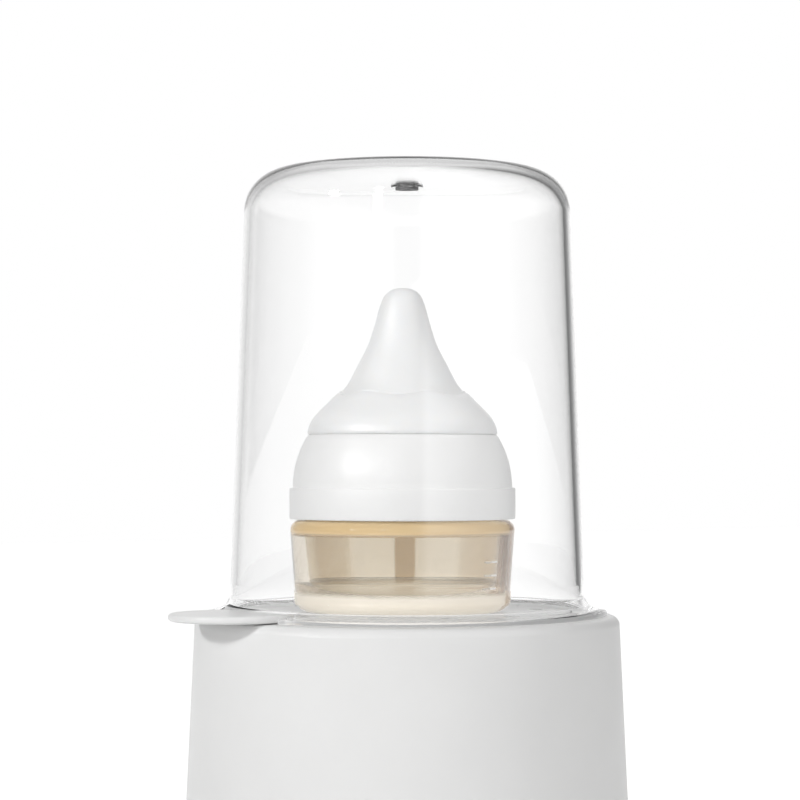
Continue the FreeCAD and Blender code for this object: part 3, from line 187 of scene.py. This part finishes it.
def colour_ramp(tree, value, stops):
    """A colour read off stops of (place, colour), with the value running from 0 to 1."""
    ramp = tree.nodes.new("ShaderNodeValToRGB")
    while len(ramp.color_ramp.elements) < len(stops):
        ramp.color_ramp.elements.new(0.5)
    for element, (place, colour) in zip(ramp.color_ramp.elements, stops):
        element.position = place
        element.color = (*colour, 1)
    tree.links.new(value, ramp.inputs["Fac"])
    return ramp.outputs["Color"]


def level_ramp(tree, value, stops):
    """A grey level read off stops of (place, level), with the value running from 0 to 1."""
    return colour_ramp(tree, value, [(place, (level, level, level)) for place, level in stops])


def by_angle(stops):
    """Moves stops of (degrees, level or colour), from -180 to 180, to places from 0 to 1."""
    return [((angle + 180) / 360, what) for angle, what in stops]


def dot(tree, direction, axis):
    """How far a direction points along an axis, from -1 to 1."""
    product = tree.nodes.new("ShaderNodeVectorMath")
    product.operation = "DOT_PRODUCT"
    product.inputs[1].default_value = axis
    tree.links.new(direction, product.inputs[0])
    return product.outputs["Value"]


def remap(tree, value, low, high, start=0.0, end=1.0):
    """A value between low and high, moved to the range from start to end and held there."""
    shift = tree.nodes.new("ShaderNodeMapRange")
    shift.inputs["From Min"].default_value = low
    shift.inputs["From Max"].default_value = high
    shift.inputs["To Min"].default_value = start
    shift.inputs["To Max"].default_value = end
    tree.links.new(value, shift.inputs["Value"])
    return shift.outputs["Result"]


def turn_about(tree, direction):
    """The turn of a direction about the vertical, from 0 to 1. The camera's side is at 0.5."""
    turn = math.radians(VIEW_AZIMUTH)
    angle = tree.nodes.new("ShaderNodeMath")
    angle.operation = "ARCTAN2"
    tree.links.new(dot(tree, direction, (math.cos(turn), math.sin(turn), 0)), angle.inputs[0])
    tree.links.new(dot(tree, direction, (math.sin(turn), -math.cos(turn), 0)), angle.inputs[1])
    return remap(tree, angle.outputs["Value"], -math.pi, math.pi)


def make_world():
    """White for the eye; as light, a bright panel at the right front, dim at the left, white behind."""
    world = bpy.data.worlds.new("studio")
    bpy.context.scene.world = world
    world.use_nodes = True
    tree = world.node_tree
    tree.nodes.clear()
    direction = tree.nodes.new("ShaderNodeTexCoord").outputs["Generated"]
    sides = level_ramp(tree, turn_about(tree, direction), by_angle(AROUND_LEVELS))
    heights = level_ramp(tree, remap(tree, dot(tree, direction, (0, 0, 1)), -1.0, 1.0), HEIGHT_LEVELS)
    product = tree.nodes.new("ShaderNodeVectorMath")
    product.operation = "MULTIPLY"
    tree.links.new(sides, product.inputs[0])
    tree.links.new(heights, product.inputs[1])
    room = tree.nodes.new("ShaderNodeBackground")
    tree.links.new(product.outputs["Vector"], room.inputs["Color"])
    seen = tree.nodes.new("ShaderNodeBackground")
    seen.inputs["Color"].default_value = (1, 1, 1, 1)
    path = tree.nodes.new("ShaderNodeLightPath")
    mix = tree.nodes.new("ShaderNodeMixShader")
    tree.links.new(path.outputs["Is Camera Ray"], mix.inputs["Fac"])
    tree.links.new(room.outputs["Background"], mix.inputs[1])
    tree.links.new(seen.outputs["Background"], mix.inputs[2])
    output = tree.nodes.new("ShaderNodeOutputWorld")
    tree.links.new(mix.outputs["Shader"], output.inputs["Surface"])


# --- materials --------------------------------------------------------------------------------------

def new_material(name):
    material = bpy.data.materials.new(name)
    material.use_nodes = True
    tree = material.node_tree
    return material, tree, tree.nodes["Principled BSDF"]


def noise(tree, scale, detail=4.0, distortion=0.0):
    """Noise in the object's own space, in metres."""
    place = tree.nodes.new("ShaderNodeTexCoord")
    texture = tree.nodes.new("ShaderNodeTexNoise")
    texture.inputs["Scale"].default_value = scale
    texture.inputs["Detail"].default_value = detail
    texture.inputs["Distortion"].default_value = distortion
    tree.links.new(place.outputs["Object"], texture.inputs["Vector"])
    return texture.outputs["Fac"]


def add_bump(tree, shader, scale, strength, distance=0.0002):
    bump = tree.nodes.new("ShaderNodeBump")
    bump.inputs["Strength"].default_value = strength
    bump.inputs["Distance"].default_value = distance
    tree.links.new(noise(tree, scale), bump.inputs["Height"])
    tree.links.new(bump.outputs["Normal"], shader.inputs["Normal"])


def vary(tree, socket, low, high, scale):
    """A number that wanders between low and high over the surface."""
    tree.links.new(remap(tree, noise(tree, scale), 0.3, 0.7, low, high), socket)


def tint(tree, socket, dark, light, scale):
    """A colour that wanders between two close shades over the surface."""
    tree.links.new(colour_ramp(tree, noise(tree, scale), ((0.35, dark), (0.65, light))), socket)


def plastic(name, colour, roughness, grain=2600.0, depth=0.08):
    """Moulded plastic: nearly even colour, fine moulded grain, slightly uneven gloss."""
    material, tree, shader = new_material(name)
    darker = [channel * 0.975 for channel in colour]
    tint(tree, shader.inputs["Base Color"], darker, colour, 35.0)
    vary(tree, shader.inputs["Roughness"], roughness - 0.03, roughness + 0.03, 60.0)
    add_bump(tree, shader, grain, depth, 0.00005)
    return material


def metal(name, colour, roughness, stretch=(1.0, 1.0, 30.0), depth=0.15):
    """Brushed or cast metal, with lines where stretch is uneven."""
    material, tree, shader = new_material(name)
    shader.inputs["Metallic"].default_value = 1.0
    place = tree.nodes.new("ShaderNodeTexCoord")
    scale = tree.nodes.new("ShaderNodeVectorMath")
    scale.operation = "MULTIPLY"
    scale.inputs[1].default_value = stretch
    texture = tree.nodes.new("ShaderNodeTexNoise")
    texture.inputs["Scale"].default_value = 400.0
    tree.links.new(place.outputs["Object"], scale.inputs[0])
    tree.links.new(scale.outputs["Vector"], texture.inputs["Vector"])
    bump = tree.nodes.new("ShaderNodeBump")
    bump.inputs["Strength"].default_value = depth
    bump.inputs["Distance"].default_value = 0.0001
    tree.links.new(texture.outputs["Fac"], bump.inputs["Height"])
    tree.links.new(bump.outputs["Normal"], shader.inputs["Normal"])
    tint(tree, shader.inputs["Base Color"], [c * 0.9 for c in colour], colour, 80.0)
    vary(tree, shader.inputs["Roughness"], roughness * 0.85, roughness * 1.15, 300.0)
    return material


def clear(name, colour, roughness, ior, haze, depth_colour=(0.5, 0.5, 0.5)):
    """Clear moulded plastic. haze and depth_colour say how much light each metre of wall absorbs."""
    material, tree, shader = new_material(name)
    shader.inputs["Base Color"].default_value = (*colour, 1)
    shader.inputs["Transmission Weight"].default_value = 1.0
    shader.inputs["IOR"].default_value = ior
    vary(tree, shader.inputs["Roughness"], roughness * 0.5, roughness, 40.0)
    add_bump(tree, shader, 25.0, 0.05, 0.0002)
    absorb = tree.nodes.new("ShaderNodeVolumeAbsorption")
    absorb.inputs["Color"].default_value = (*depth_colour, 1)
    absorb.inputs["Density"].default_value = haze
    tree.links.new(absorb.outputs["Volume"], tree.nodes["Material Output"].inputs["Volume"])
    return material


def mixed(tree, share, first, second):
    """A colour between two others: the share says how much of the second is in it."""
    mix = tree.nodes.new("ShaderNodeMixRGB")
    tree.links.new(share, mix.inputs["Fac"])
    for socket, colour in ((mix.inputs["Color1"], first), (mix.inputs["Color2"], second)):
        if isinstance(colour, tuple):
            socket.default_value = (*colour, 1)
        else:
            tree.links.new(colour, socket)
    return mix.outputs["Color"]


def dash_levels():
    """Levels over the height: 1 across each measuring dash and 0 between them."""
    levels = [(0.0, 0.0)]
    for i in reversed(range(DASH_COUNT)):
        low = DASH_TOP - i * DASH_STEP - DASH_THICK / 2
        high = low + DASH_THICK
        levels += [(low, 0.0), (low + DASH_FADE, 1.0), (high - DASH_FADE, 1.0), (high, 0.0)]
    return levels


def dash_mask(tree, turn, upright):
    """1 on the measuring dashes and 0 elsewhere."""
    low, high = DASH_TURN
    across = level_ramp(tree, turn, by_angle((
        (-180, 0.0), (low, 0.0), (low + DASH_TURN_FADE, 1.0), (high, 1.0), (high + DASH_TURN_FADE, 0.0),
    )))
    return mixed(tree, across, (0, 0, 0), upright)


def amber_plastic():
    """Amber tinted plastic. Painted shade deepens it in upright bands and at a dark brown right edge;
    painted light and a painted glow make its thick floor cream and its shoulder golden.
    """
    material = clear("amber_plastic", (1.0, 1.0, 1.0), 0.01, 1.5, 6.0, (0.72, 0.52, 0.24))
    tree = material.node_tree
    shader = tree.nodes["Principled BSDF"]
    place = tree.nodes.new("ShaderNodeTexCoord")
    centred = tree.nodes.new("ShaderNodeVectorMath")
    centred.operation = "SUBTRACT"
    centred.inputs[1].default_value = (BOTTLE_X, 0, DECK)
    tree.links.new(place.outputs["Object"], centred.inputs[0])
    turn = turn_about(tree, centred.outputs["Vector"])
    height = remap(tree, dot(tree, centred.outputs["Vector"], (0, 0, 1)), 0.0, AMBER_SPAN * MM)

    def by_height(levels):
        return level_ramp(tree, height, [(rise / AMBER_SPAN, level) for rise, level in levels])

    # Masks of painted light: the cream floor and the golden shoulder.
    floor, shoulder = by_height(FLOOR_PAINTED_LIGHT_LEVELS), by_height(SHOULDER_PAINTED_LIGHT_LEVELS)
    dashes = dash_mask(tree, turn, by_height(dash_levels()))
    # Painted shade: the dark brown right edge, set from the camera's side.
    painted_edge_shade = level_ramp(tree, turn, by_angle(EDGE_PAINTED_SHADE_LEVELS))
    # Painted shade: the tint deepens where the camera sees the bottle's sides, and in a narrow strip on the far
    # side.
    painted_shade_tints = [
        (angle, [full * share ** fall for full, fall in zip(AMBER_TINT, AMBER_FALL)])
        for angle, share in AMBER_PAINTED_SHADE_BANDS
    ]
    colour = colour_ramp(tree, turn, by_angle(painted_shade_tints))
    clearness = (1, 1, 1)
    for mask, (tone, share) in (
        (floor, FLOOR_PAINTED_LIGHT_LOOK), (shoulder, SHOULDER_PAINTED_LIGHT_LOOK), (dashes, DASH_LOOK), (painted_edge_shade, EDGE_PAINTED_SHADE_LOOK),
    ):
        colour = mixed(tree, mask, colour, tone)
        clearness = mixed(tree, mask, clearness, (share, share, share))
    # Painted glow in the floor and the shoulder, given off as light.
    painted_glow = mixed(tree, shoulder, mixed(tree, floor, (0, 0, 0), FLOOR_PAINTED_GLOW), SHOULDER_PAINTED_GLOW)
    tree.links.new(colour, shader.inputs["Base Color"])
    tree.links.new(clearness, shader.inputs["Transmission Weight"])
    tree.links.new(painted_glow, shader.inputs["Emission Color"])
    shader.inputs["Emission Strength"].default_value = 1.0
    return material


def dome_plastic():
    """Clear plastic whose foot is milky at the lip and in two fine rings, and bends light less."""
    material = clear("dome_plastic", (0.99, 0.99, 0.99), 0.01, WALL_IOR, 10.0)
    tree = material.node_tree
    shader = tree.nodes["Principled BSDF"]
    place = tree.nodes.new("ShaderNodeTexCoord")
    flat = tree.nodes.new("ShaderNodeVectorMath")
    flat.operation = "MULTIPLY"
    flat.inputs[1].default_value = (1, 1, 0)
    tree.links.new(place.outputs["Object"], flat.inputs[0])
    reach = tree.nodes.new("ShaderNodeVectorMath")
    reach.operation = "LENGTH"
    tree.links.new(flat.outputs["Vector"], reach.inputs[0])
    radius = remap(tree, reach.outputs["Value"], FLANGE_START * MM, FLANGE_END * MM)
    width = FLANGE_END - FLANGE_START
    clearness = level_ramp(tree, radius, [((r - FLANGE_START) / width, level) for r, level in FLANGE_CLEARNESS])
    tree.links.new(clearness, shader.inputs["Transmission Weight"])
    height = dot(tree, place.outputs["Object"], (0, 0, 1))
    bend = remap(tree, height, DECK + FOOT_IOR_TOP, DECK + WALL_IOR_FOOT, FOOT_IOR, WALL_IOR)
    tree.links.new(bend, shader.inputs["IOR"])
    return material


def silicone(name, colour, roughness, glow):
    """Milky silicone: light enters and spreads a little."""
    material, tree, shader = new_material(name)
    tint(tree, shader.inputs["Base Color"], [c * 0.98 for c in colour], colour, 50.0)
    shader.inputs["Subsurface Weight"].default_value = glow
    shader.inputs["Subsurface Radius"].default_value = (1.0, 0.9, 0.8)
    shader.inputs["Subsurface Scale"].default_value = 0.004
    vary(tree, shader.inputs["Roughness"], roughness - 0.03, roughness + 0.03, 90.0)
    add_bump(tree, shader, 1800.0, 0.04, 0.00005)
    return material


# --- shapes -----------------------------------------------------------------------------------------

def rounded(outline, steps=10):
    """Points of an outline of (radius, height) or (radius, height, rounding) corners."""
    count = len(outline)
    points = []
    for i, corner in enumerate(outline):
        here = Vector(corner[:2])
        if len(corner) == 2:
            points.append(here)
            continue
        to_last = (Vector(outline[i - 1][:2]) - here).normalized()
        to_next = (Vector(outline[(i + 1) % count][:2]) - here).normalized()
        half = to_last.angle(to_next) / 2
        reach = corner[2] / math.tan(half)
        centre = here + (to_last + to_next).normalized() * (corner[2] / math.sin(half))
        start, end = here + to_last * reach - centre, here + to_next * reach - centre
        sweep = start.angle_signed(end)
        for step in range(steps + 1):
            turn = -sweep * step / steps
            cos, sin = math.cos(turn), math.sin(turn)
            points.append(centre + Vector((start.x * cos - start.y * sin, start.x * sin + start.y * cos)))
    return points


def new_piece(name, vertices, faces, material, smooth_angle=35.0):
    mesh = bpy.data.meshes.new(name)
    mesh.from_pydata(vertices, [], faces)
    piece = bpy.data.objects.new(name, mesh)
    bpy.context.scene.collection.objects.link(piece)
    mesh.materials.append(material)
    finish_mesh(mesh, smooth_angle)
    return piece


def finish_mesh(mesh, smooth_angle):
    """Faces point outwards and shade smooth, except across edges sharper than the angle."""
    work = bmesh.new()
    work.from_mesh(mesh)
    bmesh.ops.remove_doubles(work, verts=work.verts, dist=1e-6)
    bmesh.ops.recalc_face_normals(work, faces=work.faces)
    work.to_mesh(mesh)
    work.free()
    mesh.shade_smooth()
    mesh.set_sharp_from_angle(angle=math.radians(smooth_angle))


def turned(name, points, material, centre=(0.0, 0.0), segments=SEGMENTS, smooth_angle=35.0):
    """A closed outline of (radius, height) turned about the vertical line at the centre."""
    vertices = []
    for i in range(segments):
        turn = 2 * math.pi * i / segments
        for radius, height in points:
            vertices.append((centre[0] + radius * math.cos(turn), centre[1] + radius * math.sin(turn), height))
    count = len(points)
    faces = []
    for i in range(segments):
        here, beyond = i * count, ((i + 1) % segments) * count
        for j in range(count):
            k = (j + 1) % count
            corners = [here + j, beyond + j, beyond + k, here + k]
            if points[j][0] < 1e-9 and points[k][0] < 1e-9:
                continue
            if points[j][0] < 1e-9:
                corners = [here + j, beyond + k, here + k]
            elif points[k][0] < 1e-9:
                corners = [here + j, beyond + j, here + k]
            faces.append(corners)
    return new_piece(name, vertices, faces, material, smooth_angle)


def carve(piece, low, high, smooth_angle=35.0):
    """Takes a box out of a piece."""
    corners = [(x, y, z) for x in (low[0], high[0]) for y in (low[1], high[1]) for z in (low[2], high[2])]
    sides = [(0, 1, 3, 2), (4, 6, 7, 5), (0, 4, 5, 1), (2, 3, 7, 6), (0, 2, 6, 4), (1, 5, 7, 3)]
    mesh = bpy.data.meshes.new("cutter")
    mesh.from_pydata(corners, [], sides)
    cutter = bpy.data.objects.new("cutter", mesh)
    bpy.context.scene.collection.objects.link(cutter)
    modifier = piece.modifiers.new("carve", "BOOLEAN")
    modifier.operation = "DIFFERENCE"
    modifier.solver = "EXACT"
    modifier.object = cutter
    bpy.context.view_layer.update()
    shape = bpy.data.meshes.new_from_object(piece.evaluated_get(bpy.context.evaluated_depsgraph_get()))
    piece.modifiers.clear()
    piece.data = shape
    bpy.data.objects.remove(cutter)
    finish_mesh(shape, smooth_angle)


# --- dome -------------------------------------------------------------------------------------------

def make_dome(material):
    """The clear bell, its flared flange, and the notch over the finger tab."""
    foot, top, wall, roof = 50.4 * MM, 45.9 * MM, 2.0 * MM, 2.4 * MM
    flange, root, lip, corner = 56.6 * MM, 2.4 * MM, 1.1 * MM, 12.0 * MM
    vent, boss, boss_drop = 2.6 * MM, 4.6 * MM, 0.7 * MM
    slope = (foot - top) / (DOME_HIGH - DOME_LOW)
    ceiling = DOME_HIGH - roof
    inner_top = foot - slope * (ceiling - DOME_LOW) - wall
    outline = rounded([
        (vent, DOME_HIGH),
        (top, DOME_HIGH, corner),
        (foot - slope * root, DOME_LOW + root, 4.5 * MM),
        (flange, DOME_LOW + lip, 0.55 * MM),
        (flange, DOME_LOW),
        (foot - wall, DOME_LOW, 6.0 * MM),
        (inner_top, ceiling, corner - wall),
        (boss, ceiling),
        (boss, ceiling - boss_drop),
        (vent, ceiling - boss_drop),
    ], steps=16)
    dome = turned("clear_dome", outline, material)
    notch_half, notch_top, notch_in, notch_out = 19.5 * MM, DECK + 2.8 * MM, 37.1 * MM, 80.0 * MM
    below = 10.0 * MM
    carve(dome, (-notch_out, -notch_half, DOME_LOW - below), (-notch_in, notch_half, notch_top))
    dome.visible_shadow = False
    dome.visible_diffuse = False
    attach(dome, "lid")
    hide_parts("dome")
    return dome


# --- bottle -----------------------------------------------------------------------------------------

def make_bottle(material):
    """The thick amber cup and its neck."""
    foot = DECK + 0.05 * MM
    floor = DECK + 5.2 * MM
    shoulder = DECK + 27.0 * MM
    shoulder_band, neck_depth, neck_cone = 2.8 * MM, 1.0 * MM, 2.5 * MM
    rim = BOTTLE_HIGH.z
    foot_radius, floor_radius = 30.0 * MM, 26.1 * MM
    outer, inner = 31.8 * MM, 27.9 * MM
    neck, neck_inner = 28.0 * MM, 25.4 * MM
    outline = rounded([
        (0.0, foot),
        (foot_radius, foot, 5.0 * MM),
        (outer, shoulder - shoulder_band),
        (outer, shoulder, 2.7 * MM),
        (neck, shoulder, 0.6 * MM),
        (neck, rim, 0.7 * MM),
        (neck_inner, rim, 0.7 * MM),
        (neck_inner, shoulder - neck_depth, 2.0 * MM),
        (inner, shoulder - neck_depth - neck_cone, 2.0 * MM),
        (floor_radius, floor, 5.5 * MM),
        (0.0, floor),
    ])
    bottle = turned("amber_cup", outline, material, (BOTTLE_X, 0.0))
    bottle.visible_shadow = False
    bottle.visible_diffuse = False
    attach(bottle, "tray")
    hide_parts("bottle_body")
    return bottle


def make_collar(material):
    """The white screw collar: straight band below, curved side above."""
    low, high = COLLAR_LOW.z, COLLAR_HIGH.z
    band_top = low + 8.8 * MM
    band, side, bore, crown = 32.0 * MM, 31.1 * MM, 29.2 * MM, 28.0 * MM
    top_edge, top_flat, hole = 26.9 * MM, 26.4 * MM, 23.6 * MM
    wall, step = 1.8 * MM, 0.5 * MM

    def curve(inset, start, end, count=14):
        for i in range(count + 1):
            height = start + (end - start) * i / count
            yield Vector((side - crown - inset + math.sqrt(crown ** 2 - (height - band_top) ** 2), height))

    points = rounded([
        (bore, low),
        (band, low, 0.4 * MM),
        (band, band_top, 0.5 * MM),
        (side, band_top, 0.2 * MM),
    ], steps=5)
    points += curve(0.0, band_top + 0.4 * MM, high - step)
    points += rounded([
        (top_edge, high - step),
        (top_flat, high, 0.3 * MM),
        (hole, high),
        (hole, high - wall),
    ], steps=4)[1:]
    ceiling = band_top + 1.0 * MM
    points += reversed(list(curve(wall, ceiling, high - wall)))
    points.append(Vector((bore, ceiling)))
    collar = turned("screw_collar", points, material, (BOTTLE_X, 0.0))
    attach(collar, "closure")
    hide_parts("bottle_collar")
    return collar


def smooth_line(knots, steps=8):
    """Points of a Catmull-Rom curve through the knots."""
    points = []
    for i in range(len(knots) - 1):
        before, start = knots[max(i - 1, 0)], knots[i]
        end, after = knots[i + 1], knots[min(i + 2, len(knots) - 1)]
        for step in range(steps):
            t = step / steps
            points.append(0.5 * (
                2 * start + (end - before) * t
                + (2 * before - 5 * start + 4 * end - after) * t ** 2
                + (3 * start - before - 3 * end + after) * t ** 3
            ))
    return points + [knots[-1]]


def wave_seam(teat, height):
    """Lets the teat's seam at a height wander up and down round it."""
    for vertex in teat.data.vertices:
        turn = math.atan2(vertex.co.y, vertex.co.x - BOTTLE_X)
        nearness = max(0.0, 1.0 - abs(vertex.co.z - height) / SEAM_REACH)
        vertex.co.z += SEAM_AMPLITUDE * nearness * math.cos(SEAM_WAVES * turn + SEAM_PHASE)


def make_teat(material):
    """The silicone teat above the collar, with the thin wavy seam where cone and skirt meet."""
    foot = COLLAR_HIGH.z
    wall, drop, seam_height = 1.9 * MM, 1.2 * MM, 11.8 * MM

    def knots(*places):
        return [Vector((radius * MM, foot + rise * MM)) for radius, rise in places]

    skirt = knots((26.85, 0.04), (26.85, 1.1), (26.2, 3.1), (24.4, 5.8), (19.9, 10.2), (17.9, 11.5))
    seam = knots((17.75, 11.9), (17.2, 11.75))
    cone = knots(
        (16.9, 12.1), (15.0, 15.2), (12.8, 19.5), (9.8, 25.4), (7.8, 31.5),
        (6.65, 35.7), (5.2, 39.3), (2.9, 41.1), (0.0, 41.6),
    )
    under = knots((21.0, 6.5), (21.5, 2.0), (23.0, 0.2))
    outer = [Vector((p.x, min(p.y, TEAT_HIGH))) for p in smooth_line(skirt) + seam + smooth_line(cone)]
    inner = [Vector((max(p.x - wall, 0.0), p.y - drop)) for p in reversed(smooth_line(cone))]
    teat = turned("silicone_teat", outer + inner + under, material, (BOTTLE_X, 0.0))
    wave_seam(teat, foot + seam_height)
    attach(teat, "closure")
    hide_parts("bottle_teat")
    return teat


# --- assembly ---------------------------------------------------------------------------------------

def dress_nodes():
    """Every CAD node that stays in view gets its own procedural material."""
    white = plastic("base_plastic", (0.81, 0.81, 0.805), 0.42)
    looks = {
        "housing": white,
        "steam_tray": plastic("tray_plastic", (0.82, 0.82, 0.815), 0.4),
        "vent_grommet": silicone("vent_silicone", (0.10, 0.10, 0.10), 0.5, 0.0),
        "bottom_cover": plastic("cover_plastic", (0.55, 0.55, 0.545), 0.5),
        "feet": plastic("foot_rubber", (0.03, 0.03, 0.032), 0.75, 900.0, 0.3),
        "bottom_screws": metal("zinc", (0.62, 0.63, 0.65), 0.35),
        "heating_dish": metal("dish_steel", (0.66, 0.66, 0.67), 0.28, (1.0, 1.0, 1.0), 0.1),
        "dish_seal": silicone("seal_silicone", (0.75, 0.75, 0.72), 0.45, 0.2),
        "heat_spreader": metal("cast_aluminium", (0.70, 0.71, 0.72), 0.5, (1.0, 1.0, 1.0), 0.3),
        "heating_element": metal("tinted_steel", (0.32, 0.29, 0.27), 0.4, (1.0, 1.0, 1.0), 0.1),
        "heater_clamp": metal("clamp_steel", (0.58, 0.59, 0.6), 0.35),
        "clamp_screws": metal("clamp_zinc", (0.62, 0.63, 0.65), 0.35),
        "thermal_cutout": plastic("phenolic", (0.03, 0.025, 0.02), 0.5),
        "temperature_sensor": metal("sensor_cup", (0.7, 0.7, 0.7), 0.2),
        "main_board": plastic("board_mask", (0.02, 0.14, 0.06), 0.35),
        "board_screws": metal("board_zinc", (0.62, 0.63, 0.65), 0.35),
        "transformer": plastic("transformer_case", (0.03, 0.03, 0.03), 0.55),
        "relay": plastic("relay_case", (0.02, 0.07, 0.22), 0.3),
        "capacitors": plastic("capacitor_sleeve", (0.02, 0.025, 0.06), 0.25),
        "terminal_block": plastic("terminal_green", (0.03, 0.17, 0.07), 0.45),
        "power_button": plastic("button_plastic", (0.85, 0.85, 0.845), 0.3),
        "light_ring": silicone("light_guide", (0.85, 0.87, 0.88), 0.25, 0.4),
        "switch_board": plastic("switch_board_mask", (0.02, 0.14, 0.06), 0.35),
        "tactile_switch": plastic("switch_case", (0.03, 0.03, 0.03), 0.5),
        "mains_inlet": plastic("inlet_plastic", (0.02, 0.02, 0.02), 0.45),
        "inlet_pins": metal("pin_brass", (0.75, 0.58, 0.30), 0.25),
    }
    for node, material in looks.items():
        for holder in NODES[node].material_slots:
            holder.material = material


def main():
    bpy.context.scene.view_settings.view_transform = "Standard"
    make_camera()
    make_floor()
    make_world()
    for name, azimuth, distance, height, size, power in LAMPS:
        softbox(name, VIEW_AZIMUTH + azimuth, distance, height, size, power)
    dress_nodes()
    make_dome(dome_plastic())
    make_bottle(amber_plastic())
    make_collar(plastic("collar_plastic", (0.95, 0.95, 0.945), 0.42))
    make_teat(silicone("teat_silicone_skin", (0.94, 0.94, 0.935), 0.32, 0.35))


main()
